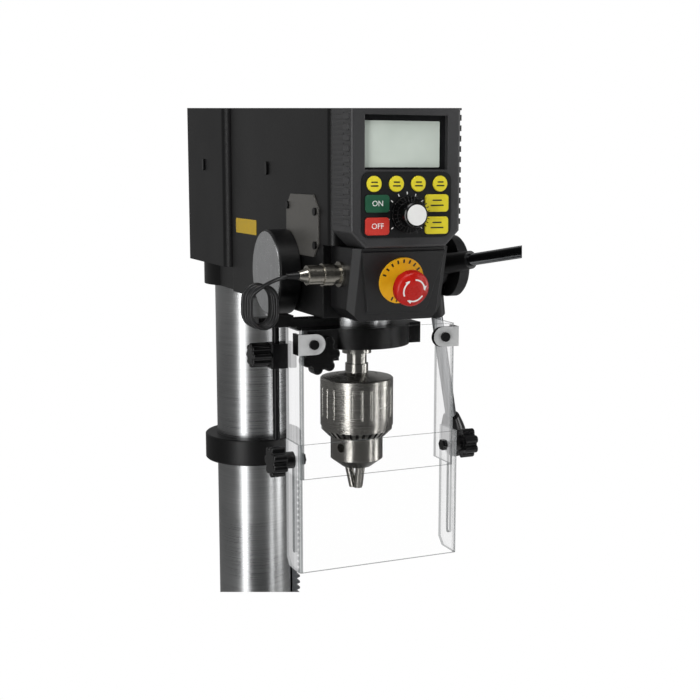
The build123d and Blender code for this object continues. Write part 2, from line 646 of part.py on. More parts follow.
# ================================================================ head
SOCKET_RADIUS = COLUMN_RADIUS + SOCKET_WALL
HEAD_MIDDLE = (HEAD_FRONT + HEAD_REAR) / 2
CHAMBER_HALF_WIDTH = HEAD_HALF_WIDTH - HEAD_WALL
MOTOR_FLOOR = HEAD_BOTTOM + MOTOR_FLOOR_RISE
REAR_CHAMBER_FRONT = SPINDLE_Y + MOTOR_RADIUS + 2 * HEAD_WALL
REAR_CHAMBER_MIDDLE = (REAR_CHAMBER_FRONT + HEAD_REAR - HEAD_WALL) / 2
FEED_TIP_RADIUS = FEED_PITCH_RADIUS + RACK_MODULE
with BuildPart() as head_casting:
    with BuildSketch(Plane(origin=(0, HEAD_MIDDLE, HEAD_BOTTOM))):
        RectangleRounded(2 * HEAD_HALF_WIDTH, HEAD_REAR - HEAD_FRONT, HEAD_CORNER)
    extrude(amount=HEAD_HEIGHT)
    with BuildSketch(Plane(origin=(0, 0, HEAD_BOTTOM))):
        with Locations((0, COLUMN_Y)):
            Circle(SOCKET_RADIUS)
        with Locations((0, (HEAD_REAR - HEAD_WALL + COLUMN_Y) / 2)):
            Rectangle(SOCKET_WEB, COLUMN_Y - HEAD_REAR + HEAD_WALL)
    extrude(amount=SOCKET_DEPTH)
    with BuildSketch(across(HEAD_HALF_WIDTH)):
        with Locations((FEED_Y, FEED_Z)):
            Circle(HEAD_BOSS_RADIUS)
    extrude(amount=HEAD_BOSS_LENGTH)
    # column socket
    with BuildSketch(column_level(HEAD_BOTTOM)):
        Circle(COLUMN_RADIUS)
    extrude(amount=SOCKET_DEPTH, mode=Mode.SUBTRACT)
    # front below the control panel, set back for the emergency-stop housing
    with BuildSketch(Plane(origin=(0, (HEAD_FRONT + STOP_BACK) / 2, HEAD_BOTTOM))):
        Rectangle(2 * HEAD_HALF_WIDTH, STOP_BACK - HEAD_FRONT)
    extrude(amount=PANEL_BOTTOM - HEAD_BOTTOM, mode=Mode.SUBTRACT)
    # motor chamber and rear chamber, both open at the top
    with BuildSketch(Plane(origin=(0, SPINDLE_Y, MOTOR_FLOOR))):
        Rectangle(2 * CHAMBER_HALF_WIDTH, 2 * (MOTOR_RADIUS + HEAD_WALL))
    extrude(amount=HEAD_HEIGHT - MOTOR_FLOOR_RISE, mode=Mode.SUBTRACT)
    with BuildSketch(Plane(origin=(0, REAR_CHAMBER_MIDDLE, HEAD_BOTTOM + HEAD_FLOOR))):
        Rectangle(2 * CHAMBER_HALF_WIDTH, HEAD_REAR - HEAD_WALL - REAR_CHAMBER_FRONT)
    extrude(amount=HEAD_HEIGHT - HEAD_FLOOR, mode=Mode.SUBTRACT)
    # quill bore and the spindle's way through to the motor
    with BuildSketch(spindle_level(HEAD_BOTTOM)):
        Circle(QUILL_RADIUS + RUNNING)
    extrude(amount=QUILL_BORE_RISE, mode=Mode.SUBTRACT)
    with BuildSketch(spindle_level(HEAD_BOTTOM)):
        Circle(SPINDLE_NUT_RADIUS + GAP)
    extrude(amount=MOTOR_FLOOR_RISE, mode=Mode.SUBTRACT)
    # feed shaft bore and pinion pocket
    with BuildSketch(across(-HEAD_HALF_WIDTH)):
        with Locations((FEED_Y, FEED_Z)):
            Circle(FEED_SHAFT_RADIUS + RUNNING)
    extrude(amount=2 * HEAD_HALF_WIDTH + HEAD_BOSS_LENGTH, mode=Mode.SUBTRACT)
    with BuildSketch(across(-FEED_FACE / 2 - GAP)):
        with Locations((FEED_Y, FEED_Z)):
            Circle(FEED_TIP_RADIUS + GAP)
    extrude(amount=FEED_FACE + 2 * GAP, mode=Mode.SUBTRACT)
head_casting.part.label = "head_casting"
export_step(head_casting.part, "parts/head_casting.step")

COVER_BOTTOM = HEAD_BOTTOM + COVER_BOTTOM_RISE
with BuildPart() as rear_cover:
    with BuildSketch(Plane(origin=(0, (HEAD_REAR + COVER_REAR) / 2, COVER_BOTTOM))):
        RectangleRounded(2 * COVER_HALF_WIDTH, COVER_REAR - HEAD_REAR, COVER_CORNER)
    extrude(amount=HEAD_TOP - COVER_BOTTOM)
    with BuildSketch(Plane(origin=(0, (HEAD_REAR + COVER_REAR) / 2, COVER_BOTTOM + COVER_WALL))):
        RectangleRounded(2 * (COVER_HALF_WIDTH - COVER_WALL), COVER_REAR - HEAD_REAR - 2 * COVER_WALL,
                         COVER_CORNER - COVER_WALL)
    extrude(amount=HEAD_TOP - COVER_BOTTOM - COVER_WALL, mode=Mode.SUBTRACT)
    with BuildSketch(Plane(origin=(0, (HEAD_FRONT - LID_OVERHANG + COVER_REAR) / 2, HEAD_TOP))):
        RectangleRounded(2 * COVER_HALF_WIDTH, COVER_REAR - HEAD_FRONT + LID_OVERHANG, COVER_CORNER)
    extrude(amount=LID_THICKNESS)
    chamfer(rear_cover.faces().sort_by(Axis.Z)[-1].edges(), 2.5)
    with BuildSketch(Plane(origin=(0, 0, COVER_BOTTOM))):
        with Locations((0, COLUMN_Y)):
            Circle(SOCKET_RADIUS + GAP)
        with Locations((0, (HEAD_REAR + COLUMN_Y) / 2)):
            Rectangle(SOCKET_WEB + 2 * GAP, COLUMN_Y - HEAD_REAR)
    extrude(amount=SOCKET_DEPTH - COVER_BOTTOM_RISE + GAP, mode=Mode.SUBTRACT)
rear_cover.part.label = "rear_cover"
export_step(rear_cover.part, "parts/rear_cover.step")

PLATE_SCREWS = [
    (PLATE_REAR - 4.5, PLATE_BOTTOM + PLATE_HEIGHT - 9.0),
    (PLATE_REAR - PLATE_LENGTH + 5.0, PLATE_BOTTOM + PLATE_HEIGHT - 12.5),
    (PLATE_REAR - PLATE_LENGTH + 5.0, PLATE_BOTTOM + 9.0),
]
SLOT_SCREWS = [
    (SPINDLE_Y + HEAD_SCREW_SETBACK, HEAD_BOTTOM + HEAD_SCREW_RISE, HEAD_HALF_WIDTH),
    (SPINDLE_Y + COVER_SCREW_SETBACK, HEAD_BOTTOM + COVER_SCREW_RISE, COVER_HALF_WIDTH),
]
with BuildPart() as nameplate:
    with BuildSketch(across(-HEAD_HALF_WIDTH)):
        with Locations((PLATE_REAR - PLATE_LENGTH / 2, PLATE_BOTTOM + PLATE_HEIGHT / 2)):
            Rectangle(PLATE_LENGTH, PLATE_HEIGHT)
        chamfer(vertices(), PLATE_CORNER)
    extrude(amount=-PLATE_THICKNESS)
    with BuildSketch(across(-HEAD_HALF_WIDTH)):
        with Locations(*PLATE_SCREWS):
            Circle(SMALL_SCREW_SHANK + RUNNING)
    extrude(amount=-PLATE_THICKNESS, mode=Mode.SUBTRACT)
    with BuildSketch(across(-HEAD_HALF_WIDTH)):
        with Locations((FEED_Y, FEED_Z)):
            Circle(SPRING_CASE_RADIUS + GAP)
    extrude(amount=-PLATE_THICKNESS, mode=Mode.SUBTRACT)
nameplate.part.label = "nameplate"
export_step(nameplate.part, "parts/nameplate.step")

with BuildPart() as fixing_screws:
    with BuildSketch(column_level(BASE_TOP - BOLT_DEPTH)):
        with PolarLocations(BOLT_CIRCLE / 2, BOLT_COUNT, start_angle=45):
            Circle(BOLT_RADIUS)
    extrude(amount=BOLT_DEPTH + FLANGE_THICKNESS)
    with BuildSketch(column_level(BASE_TOP + FLANGE_THICKNESS)):
        with PolarLocations(BOLT_CIRCLE / 2, BOLT_COUNT, start_angle=45):
            Circle(WASHER_RADIUS)
    extrude(amount=WASHER_THICKNESS)
    with BuildSketch(column_level(BASE_TOP + FLANGE_THICKNESS + WASHER_THICKNESS)):
        with PolarLocations(BOLT_CIRCLE / 2, BOLT_COUNT, start_angle=45):
            RegularPolygon(BOLT_HEAD_ACROSS / 2, 6, major_radius=False)
    extrude(amount=BOLT_HEAD_HEIGHT)
    with BuildSketch(across(-HEAD_HALF_WIDTH - PLATE_THICKNESS)):
        with Locations(*PLATE_SCREWS):
            Circle(SMALL_SCREW_RADIUS)
    extrude(amount=-SMALL_SCREW_HEAD)
    with BuildSketch(across(-HEAD_HALF_WIDTH - PLATE_THICKNESS)):
        with Locations(*PLATE_SCREWS):
            Circle(SMALL_SCREW_SHANK)
    extrude(amount=PLATE_THICKNESS)
    for screw_y, screw_z, side in SLOT_SCREWS:
        for sign in (-1, 1):
            with BuildSketch(across(sign * side)):
                with Locations((screw_y, screw_z)):
                    SlotOverall(SLOT_SCREW_LENGTH, SLOT_SCREW_WIDTH, rotation=90)
            extrude(amount=sign * SMALL_SCREW_HEAD)
fixing_screws.part.label = "fixing_screws"
export_step(fixing_screws.part, "parts/fixing_screws.step")

# ================================================================ motor
with BuildPart() as motor_stator:
    with BuildSketch(spindle_level(MOTOR_FLOOR)):
        Circle(MOTOR_RADIUS)
    extrude(amount=MOTOR_LENGTH)
    with BuildSketch(spindle_level(MOTOR_FLOOR + MOTOR_END)):
        Circle(ROTOR_RADIUS + ROTOR_AIR_GAP)
    extrude(amount=MOTOR_LENGTH - 2 * MOTOR_END, mode=Mode.SUBTRACT)
    with BuildSketch(spindle_level(MOTOR_FLOOR)):
        Circle(ROTOR_SHAFT_RADIUS + RUNNING)
    extrude(amount=MOTOR_LENGTH, mode=Mode.SUBTRACT)
motor_stator.part.label = "motor_stator"
export_step(motor_stator.part, "parts/motor_stator.step")

with BuildPart() as motor_rotor:
    with BuildSketch(spindle_level(MOTOR_FLOOR + MOTOR_END + ROTOR_AIR_GAP)):
        Circle(ROTOR_RADIUS)
    extrude(amount=MOTOR_LENGTH - 2 * MOTOR_END - 2 * ROTOR_AIR_GAP)
    with BuildSketch(spindle_level(MOTOR_FLOOR + ROTOR_AIR_GAP)):
        Circle(ROTOR_SHAFT_RADIUS)
    extrude(amount=MOTOR_LENGTH + ROTOR_SHAFT_STAND)
    with BuildSketch(spindle_level(MOTOR_FLOOR)):
        Circle(SPLINE_ROOT_RADIUS + SLIDE_GAP)
        with PolarLocations(SPLINE_RADIUS / 2, SPLINE_COUNT):
            Rectangle(SPLINE_RADIUS + 2 * SLIDE_GAP, SPLINE_WIDTH + 2 * SLIDE_GAP)
    extrude(amount=MOTOR_LENGTH + ROTOR_SHAFT_STAND + GAP, mode=Mode.SUBTRACT)
motor_rotor.part.label = "motor_rotor"
export_step(motor_rotor.part, "parts/motor_rotor.step")

# ================================================================ quill and spindle
QUILL_BOTTOM = HEAD_BOTTOM - QUILL_HANG
QUILL_TOP = HEAD_BOTTOM + QUILL_TOP_RISE
RACK_PITCH_Y = SPINDLE_Y + FEED_RACK_SETBACK
RACK_ROOT_Y = RACK_PITCH_Y - GEAR_DEDENDUM * RACK_MODULE
FEED_RACK_TEETH = int((FEED_RACK_TOP_RISE - FEED_RACK_BOTTOM_RISE) / (pi * RACK_MODULE))
with BuildPart() as quill:
    with BuildSketch(spindle_level(QUILL_BOTTOM)):
        Circle(QUILL_RADIUS)
    extrude(amount=QUILL_TOP - QUILL_BOTTOM)
    chamfer(quill.edges().filter_by(GeomType.CIRCLE), 1.0)
    with BuildSketch(spindle_level(QUILL_BOTTOM)):
        Circle(QUILL_INNER_RADIUS)
    extrude(amount=QUILL_TOP - QUILL_BOTTOM, mode=Mode.SUBTRACT)
    with BuildSketch(spindle_level(QUILL_BOTTOM)):
        Circle(BEARING_OUTER_RADIUS)
    extrude(amount=BEARING_WIDTH, mode=Mode.SUBTRACT)
    with BuildSketch(spindle_level(QUILL_TOP)):
        Circle(BEARING_OUTER_RADIUS)
    extrude(amount=-BEARING_WIDTH, mode=Mode.SUBTRACT)
    # flat along the back, then the rack's teeth on it
    with BuildSketch(Plane(origin=(0, RACK_ROOT_Y + QUILL_RADIUS / 2, HEAD_BOTTOM + FEED_RACK_BOTTOM_RISE))):
        Rectangle(2 * QUILL_RADIUS, QUILL_RADIUS)
    extrude(amount=FEED_RACK_TOP_RISE - FEED_RACK_BOTTOM_RISE, mode=Mode.SUBTRACT)
    rack_middle = FEED_Z + (FEED_RACK_TEETH // 2 - 2 + FEED_RACK_TEETH % 2 / 2) * pi * RACK_MODULE
    rack_plane = Plane(origin=(0, RACK_PITCH_Y, rack_middle), x_dir=(0, 1, 0), z_dir=(1, 0, 0))
    with BuildSketch(rack_plane):
        rack_face(RACK_MODULE, FEED_RACK_TEETH, GEAR_DEDENDUM * RACK_MODULE + 1.0)
    extrude(amount=FEED_FACE / 2, both=True)
quill.part.label = "quill"
export_step(quill.part, "parts/quill.step")

with BuildPart() as quill_bearings:
    for seat in (QUILL_BOTTOM, QUILL_TOP - BEARING_WIDTH):
        with BuildSketch(spindle_level(seat)):
            Circle(BEARING_OUTER_RADIUS)
            Circle(SPINDLE_RADIUS + RUNNING, mode=Mode.SUBTRACT)
        extrude(amount=BEARING_WIDTH)
quill_bearings.part.label = "quill_bearings"
export_step(quill_bearings.part, "parts/quill_bearings.step")

NOSE_BOTTOM = QUILL_BOTTOM - NOSE_LENGTH
with BuildPart() as spindle:
    with BuildSketch(Plane(origin=(0, SPINDLE_Y, 0), x_dir=(1, 0, 0), z_dir=(0, -1, 0))):
        with BuildLine():
            Polyline(
                (0, CHUCK_TOP - TAPER_LENGTH),
                (TAPER_TIP_RADIUS, CHUCK_TOP - TAPER_LENGTH),
                (ARBOR_RADIUS, CHUCK_TOP),
                (ARBOR_RADIUS, NOSE_BOTTOM),
                (SPINDLE_RADIUS, NOSE_BOTTOM),
                (SPINDLE_RADIUS, QUILL_TOP + GAP),
                (SPINDLE_NUT_RADIUS, QUILL_TOP + GAP),
                (SPINDLE_NUT_RADIUS, QUILL_TOP + SPINDLE_NUT_HEIGHT),
                (SPLINE_ROOT_RADIUS, QUILL_TOP + SPINDLE_NUT_HEIGHT),
                (SPLINE_ROOT_RADIUS, HEAD_BOTTOM + SPLINE_TOP_RISE),
                (0, HEAD_BOTTOM + SPLINE_TOP_RISE),
                close=True,
            )
        make_face()
    revolve(axis=Axis((0, SPINDLE_Y, 0), (0, 0, 1)))
    with BuildSketch(spindle_level(QUILL_TOP + SPINDLE_NUT_HEIGHT)):
        with PolarLocations(SPLINE_RADIUS / 2, SPLINE_COUNT):
            Rectangle(SPLINE_RADIUS, SPLINE_WIDTH)
    extrude(amount=SPLINE_TOP_RISE - QUILL_TOP_RISE - SPINDLE_NUT_HEIGHT)
spindle.part.label = "spindle"
export_step(spindle.part, "parts/spindle.step")

# ================================================================ chuck
CHUCK_SLEEVE_TOP = CHUCK_TOP - CHUCK_SLEEVE_DROP
CHUCK_SLEEVE_BOTTOM = CHUCK_SLEEVE_TOP - CHUCK_SLEEVE_HEIGHT
CHUCK_NOSE_BOTTOM = CHUCK_TOP - CHUCK_NOSE_DROP
CHUCK_CORE_BOTTOM = CHUCK_SLEEVE_BOTTOM
CHUCK_BAND_BOTTOM = CHUCK_SLEEVE_BOTTOM - CHUCK_BAND_HEIGHT
CHUCK_TEETH_BOTTOM = CHUCK_BAND_BOTTOM - CHUCK_TEETH_HEIGHT
CHUCK_TEETH_RADIUS = CHUCK_NOSE_RADIUS + SLIDE_GAP + CHUCK_TOOTH_WALL
with BuildPart() as chuck_body:
    with BuildSketch(Plane(origin=(0, SPINDLE_Y, 0), x_dir=(1, 0, 0), z_dir=(0, -1, 0))):
        with BuildLine():
            Polyline(
                (0, CHUCK_TOP),
                (CHUCK_NECK_RADIUS, CHUCK_TOP),
                (CHUCK_NECK_RADIUS, CHUCK_TOP - CHUCK_NECK),
                (CHUCK_CONE_RADIUS - SLIDE_GAP, CHUCK_TOP - CHUCK_NECK - CHUCK_CONE),
                (CHUCK_CORE_RADIUS, CHUCK_SLEEVE_TOP - CHUCK_SLEEVE_BEVEL / 2),
                (CHUCK_CORE_RADIUS, CHUCK_CORE_BOTTOM),
                (CHUCK_NOSE_RADIUS, CHUCK_CORE_BOTTOM),
                (CHUCK_NOSE_RADIUS, CHUCK_NOSE_BOTTOM + CHUCK_NOSE_TAPER),
                (CHUCK_FACE_RADIUS, CHUCK_NOSE_BOTTOM),
                (0, CHUCK_NOSE_BOTTOM),
                close=True,
            )
        make_face()
    revolve(axis=Axis((0, SPINDLE_Y, 0), (0, 0, 1)))
    with BuildSketch(Plane(origin=(0, SPINDLE_Y, 0), x_dir=(1, 0, 0), z_dir=(0, -1, 0))):
        with BuildLine():
            Polyline(
                (0, CHUCK_TOP),
                (ARBOR_RADIUS, CHUCK_TOP),
                (TAPER_TIP_RADIUS, CHUCK_TOP - TAPER_LENGTH),
                (0, CHUCK_TOP - TAPER_LENGTH),
                close=True,
            )
        make_face()
    revolve(axis=Axis((0, SPINDLE_Y, 0), (0, 0, 1)), mode=Mode.SUBTRACT)
    for index in range(JAW_COUNT):
        with BuildSketch(jaw_plane(index)):
            Circle(JAW_RADIUS + RUNNING)
        extrude(amount=JAW_LENGTH + JAW_TRAVEL + 1.0, mode=Mode.SUBTRACT)
    with BuildSketch(spindle_level(CHUCK_NOSE_BOTTOM)):
        Circle(JAW_TIP_OFFSET + JAW_RADIUS)
    extrude(amount=TAPER_LENGTH, mode=Mode.SUBTRACT)
    for index in range(JAW_COUNT):
        turn = 2 * pi * index / JAW_COUNT - pi / 6 + radians(60 * 2)
        rim = Vector(cos(turn) * CHUCK_NOSE_RADIUS, sin(turn) * CHUCK_NOSE_RADIUS + SPINDLE_Y,
                     CHUCK_TOP - KEY_HOLE_DROP)
        with BuildSketch(Plane(origin=rim, z_dir=(-cos(turn), -sin(turn), 0))):
            Circle(KEY_HOLE_RADIUS)
        extrude(amount=KEY_HOLE_DEPTH, mode=Mode.SUBTRACT)
chuck_body.part.label = "chuck_body"
export_step(chuck_body.part, "parts/chuck_body.step")

with BuildPart() as chuck_sleeve:
    with BuildSketch(Plane(origin=(0, SPINDLE_Y, 0), x_dir=(1, 0, 0), z_dir=(0, -1, 0))):
        with BuildLine():
            Polyline(
                (CHUCK_CORE_RADIUS + SLIDE_GAP, CHUCK_SLEEVE_TOP - CHUCK_SLEEVE_BEVEL / 2),
                (CHUCK_CONE_RADIUS, CHUCK_TOP - CHUCK_NECK - CHUCK_CONE + SLIDE_GAP),
                (CHUCK_SLEEVE_RADIUS - 1.0, CHUCK_SLEEVE_TOP),
                (CHUCK_SLEEVE_RADIUS, CHUCK_SLEEVE_TOP - 1.0),
                (CHUCK_SLEEVE_RADIUS, CHUCK_SLEEVE_BOTTOM),
                (CHUCK_SLEEVE_RADIUS - CHUCK_BAND_STEP, CHUCK_SLEEVE_BOTTOM),
                (CHUCK_SLEEVE_RADIUS - CHUCK_BAND_STEP, CHUCK_BAND_BOTTOM),
                (CHUCK_TEETH_RADIUS, CHUCK_TEETH_BOTTOM),
                (CHUCK_NOSE_RADIUS + SLIDE_GAP, CHUCK_TEETH_BOTTOM),
                (CHUCK_NOSE_RADIUS + SLIDE_GAP, CHUCK_SLEEVE_BOTTOM - SLIDE_GAP),
                (CHUCK_CORE_RADIUS + SLIDE_GAP, CHUCK_SLEEVE_BOTTOM - SLIDE_GAP),
                close=True,
            )
        make_face()
    revolve(axis=Axis((0, SPINDLE_Y, 0), (0, 0, 1)))
    with BuildSketch(spindle_level(CHUCK_TEETH_BOTTOM)):
        with PolarLocations(CHUCK_SLEEVE_RADIUS, CHUCK_TEETH_COUNT):
            Rectangle(2 * (CHUCK_SLEEVE_RADIUS - CHUCK_TEETH_RADIUS), CHUCK_TOOTH_WIDTH)
    extrude(amount=CHUCK_TEETH_HEIGHT, mode=Mode.SUBTRACT)
    with BuildSketch(spindle_level(CHUCK_SLEEVE_BOTTOM + (CHUCK_SLEEVE_HEIGHT - FLUTE_HEIGHT) / 2)):
        with PolarLocations(CHUCK_SLEEVE_RADIUS + FLUTE_RADIUS / 2, FLUTE_COUNT):
            Circle(FLUTE_RADIUS)
    extrude(amount=FLUTE_HEIGHT, mode=Mode.SUBTRACT)
chuck_sleeve.part.label = "chuck_sleeve"
export_step(chuck_sleeve.part, "parts/chuck_sleeve.step")

JAW_TIP_Z = CHUCK_TOP - CHUCK_LENGTH
for index in range(JAW_COUNT):
    turn = 2 * pi * index / JAW_COUNT + pi / 6
    with BuildPart() as chuck_jaw:
        with BuildSketch(jaw_plane(index).offset(-JAW_RADIUS)):
            Circle(JAW_RADIUS)
        extrude(amount=JAW_LENGTH + JAW_RADIUS)
        with BuildSketch(spindle_level(JAW_TIP_Z)):
            with BuildLine():
                reach = 4 * JAW_LENGTH
                start = (2 * JAW_HALF_GAP * cos(turn), 2 * JAW_HALF_GAP * sin(turn))
                left = (start[0] + reach * cos(turn + pi / 3), start[1] + reach * sin(turn + pi / 3))
                right = (start[0] + reach * cos(turn - pi / 3), start[1] + reach * sin(turn - pi / 3))
                Polyline(start, left, right, close=True)
            make_face()
        extrude(amount=2 * JAW_LENGTH, mode=Mode.INTERSECT)
    chuck_jaw.part.label = f"chuck_jaw_{index + 1}"
    export_step(chuck_jaw.part, f"parts/chuck_jaw_{index + 1}.step")

# ================================================================ feed shaft, hub, levers, return spring
SPRING_END = HEAD_HALF_WIDTH + SPRING_CASE_DEPTH
with BuildPart() as feed_shaft:
    with BuildSketch(Plane(origin=(-FEED_FACE / 2, FEED_Y, FEED_Z), x_dir=(0, -1, 0), z_dir=(1, 0, 0))):
        gear_face(RACK_MODULE, FEED_TEETH)
    extrude(amount=FEED_FACE)
    with BuildSketch(across(-SPRING_END + GAP)):
        with Locations((FEED_Y, FEED_Z)):
            Circle(FEED_SHAFT_RADIUS)
    extrude(amount=SPRING_END - GAP + HUB_DISC_END - HUB_END_COVER)
feed_shaft.part.label = "feed_shaft"
export_step(feed_shaft.part, "parts/feed_shaft.step")

HUB_CENTRE = Vector(HUB_CENTRE_X, FEED_Y, FEED_Z)
with BuildPart() as feed_hub:
    for start, end, radius in (
        (HUB_CORE_START, HUB_CORE_END, HUB_CORE_RADIUS),
        (HUB_CORE_END, HUB_DISC_START, HUB_NECK_RADIUS),
        (HUB_DISC_START, HUB_DISC_END, HUB_DISC_RADIUS),
    ):
        with BuildSketch(across(start)):
            with Locations((FEED_Y, FEED_Z)):
                Circle(radius)
        extrude(amount=end - start)
    chamfer(feed_hub.faces().sort_by(Axis.X)[-1].edges(), 1.5)
    for index in range(LEVER_COUNT):
        boss = Plane(origin=HUB_CENTRE, z_dir=lever_direction(index))
        with BuildSketch(boss):
            Circle(LEVER_BOSS_ROOT_RADIUS)
        with BuildSketch(boss.offset(LEVER_BOSS_END)):
            Circle(LEVER_BOSS_TIP_RADIUS)
        loft()
    for index in range(LEVER_COUNT):
        with BuildSketch(Plane(origin=HUB_CENTRE, z_dir=lever_direction(index)).offset(LEVER_ROOT)):
            Circle(LEVER_RADIUS)
        extrude(amount=LEVER_BOSS_END, mode=Mode.SUBTRACT)
    with BuildSketch(across(HUB_CORE_START)):
        with Locations((FEED_Y, FEED_Z)):
            Circle(FEED_SHAFT_RADIUS)
    extrude(amount=HUB_DISC_END - HUB_END_COVER - HUB_CORE_START, mode=Mode.SUBTRACT)
feed_hub.part.label = "feed_hub"
export_step(feed_hub.part, "parts/feed_hub.step")

with BuildPart() as feed_levers:
    for index in range(LEVER_COUNT):
        with BuildSketch(Plane(origin=HUB_CENTRE, z_dir=lever_direction(index)).offset(LEVER_ROOT)):
            Circle(LEVER_RADIUS)
        extrude(amount=LEVER_END - LEVER_ROOT)
feed_levers.part.label = "feed_levers"
export_step(feed_levers.part, "parts/feed_levers.step")

with BuildPart() as lever_knobs:
    for index in range(LEVER_COUNT):
        along = lever_direction(index)
        side = Vector(0, 0, 1).cross(along).normalized()
        profile = Plane(origin=HUB_CENTRE, x_dir=side, z_dir=side.cross(along))
        with BuildSketch(profile):
            with BuildLine():
                Line((0, KNOB_START), (LEVER_RADIUS + 2.5, KNOB_START))
                Spline((LEVER_RADIUS + 2.5, KNOB_START), (KNOB_RADIUS, KNOB_END - 14.0), (0, KNOB_END),
                       tangents=((0.3, 1), (-1, 0)))
                Line((0, KNOB_END), (0, KNOB_START))
            make_face()
        revolve(axis=Axis(HUB_CENTRE, along))
    for index in range(LEVER_COUNT):
        with BuildSketch(Plane(origin=HUB_CENTRE, z_dir=lever_direction(index)).offset(KNOB_START)):
            Circle(LEVER_RADIUS)
        extrude(amount=LEVER_END - KNOB_START, mode=Mode.SUBTRACT)
lever_knobs.part.label = "lever_knobs"
export_step(lever_knobs.part, "parts/lever_knobs.step")

with BuildPart() as spring_case:
    with BuildSketch(across(-HEAD_HALF_WIDTH)):
        with Locations((FEED_Y, FEED_Z)):
            Circle(SPRING_CASE_RADIUS)
    extrude(amount=-SPRING_CASE_DEPTH - SPRING_CAP)
    chamfer(spring_case.faces().sort_by(Axis.X)[0].edges(), 1.0)
    with BuildSketch(across(-HEAD_HALF_WIDTH)):
        with Locations((FEED_Y, FEED_Z)):
            Circle(SPRING_CASE_RADIUS - SPRING_CASE_WALL)
    extrude(amount=-SPRING_CASE_DEPTH, mode=Mode.SUBTRACT)
spring_case.part.label = "spring_case"
export_step(spring_case.part, "parts/spring_case.step")

SPRING_OUTER = SPRING_CASE_RADIUS - SPRING_CASE_WALL - SPRING_STRIP
with BuildPart() as return_spring:
    case_inside = (-HEAD_HALF_WIDTH - GAP, FEED_Y, FEED_Z)
    with BuildSketch(Plane(origin=case_inside, x_dir=(0, 1, 0), z_dir=(-1, 0, 0))):
        with BuildLine():
            steps = [step / 12 for step in range(12 * SPRING_TURNS + 1)]
            inner = []
            outer = []
            for turn in steps:
                radius = SPRING_HUB_RADIUS + (SPRING_OUTER - SPRING_HUB_RADIUS) * turn / SPRING_TURNS
                inner.append((radius * cos(2 * pi * turn), radius * sin(2 * pi * turn)))
                radius += SPRING_STRIP
                outer.append((radius * cos(2 * pi * turn), radius * sin(2 * pi * turn)))
            Spline(*inner)
            Line(inner[-1], outer[-1])
            Spline(*outer)
            Line(outer[0], inner[0])
        make_face()
    extrude(amount=SPRING_CASE_DEPTH - 2 * GAP)
return_spring.part.label = "return_spring"
export_step(return_spring.part, "parts/return_spring.step")

# ================================================================ control panel
PANEL_MIDDLE_Z = (PANEL_BOTTOM + PANEL_TOP) / 2
PANEL_FACE_BACK = PANEL_FRONT + PANEL_FACE
KEYPAD_FRONT = PANEL_FRONT - KEYPAD_PROUD
KEYPAD_BACK = KEYPAD_FRONT + KEYPAD_THICKNESS
KEYPAD_MIDDLE_Z = KEYPAD_BOTTOM + KEYPAD_HEIGHT / 2
RIB_COUNT = int((PANEL_TOP - PANEL_BOTTOM - 2 * PANEL_CHAMFER) / RIB_PITCH)
SOFT_KEY_PLACES = [(SOFT_KEY_PITCH * (place - 1.5), SOFT_KEY_Z) for place in range(4)]
WIDE_KEY_PLACES = {
    "on_key": (-WIDE_KEY_X, WIDE_KEY_UPPER_Z),
    "off_key": (-WIDE_KEY_X, WIDE_KEY_LOWER_Z),
    "upper_right_key": (WIDE_KEY_X, WIDE_KEY_UPPER_Z),
    "lower_right_key": (WIDE_KEY_X, WIDE_KEY_LOWER_Z),
}
with BuildPart() as panel_housing:
    with BuildSketch(facing(HEAD_FRONT)):
        with Locations((0, PANEL_MIDDLE_Z)):
            Rectangle(2 * PANEL_HALF_WIDTH, PANEL_TOP - PANEL_BOTTOM)
        chamfer(vertices(), PANEL_CHAMFER)
    extrude(amount=HEAD_FRONT - PANEL_FRONT)
    fillet(panel_housing.faces().sort_by(Axis.Y)[0].edges(), 2.0)
    with BuildSketch(facing(PANEL_FRONT + PANEL_TRIM_WIDTH)):
        for sign in (-1, 1):
            with Locations((sign * PANEL_HALF_WIDTH, PANEL_MIDDLE_Z)):
                with GridLocations(0, RIB_PITCH, 1, RIB_COUNT):
                    Rectangle(2 * PANEL_TRIM_PROUD, RIB_HEIGHT)
    extrude(amount=PANEL_TRIM_WIDTH - 2.0)
    with BuildSketch(facing(HEAD_FRONT)):
        with Locations((0, PANEL_MIDDLE_Z)):
            Rectangle(2 * PANEL_HALF_WIDTH - 2 * PANEL_WALL, PANEL_TOP - PANEL_BOTTOM - 2 * PANEL_WALL)
        chamfer(vertices(), PANEL_CHAMFER - PANEL_WALL / 2)
    extrude(amount=HEAD_FRONT - PANEL_FACE_BACK, mode=Mode.SUBTRACT)
    with BuildSketch(facing(PANEL_FRONT)):
        with Locations((0, LCD_BOTTOM + LCD_HEIGHT / 2)):
            Rectangle(LCD_WIDTH, LCD_HEIGHT)
        with Locations((0, DIAL_Z)):
            Circle(ENCODER_RADIUS + GAP)
    extrude(amount=-PANEL_FACE, mode=Mode.SUBTRACT)
    with BuildSketch(facing(PANEL_FRONT)):
        with Locations((0, KEYPAD_MIDDLE_Z)):
            RectangleRounded(KEYPAD_WIDTH, KEYPAD_HEIGHT, KEYPAD_CORNER)
    extrude(amount=PANEL_FRONT - KEYPAD_BACK, mode=Mode.SUBTRACT)
panel_housing.part.label = "panel_housing"
export_step(panel_housing.part, "parts/panel_housing.step")

with BuildPart() as lcd_display:
    with BuildSketch(facing(PANEL_FACE_BACK + LCD_THICKNESS)):
        with Locations((0, LCD_BOTTOM + LCD_HEIGHT / 2)):
            Rectangle(LCD_WIDTH + 2 * LCD_FRAME, LCD_HEIGHT + 2 * LCD_FRAME)
    extrude(amount=LCD_THICKNESS)
lcd_display.part.label = "lcd_display"
export_step(lcd_display.part, "parts/lcd_display.step")

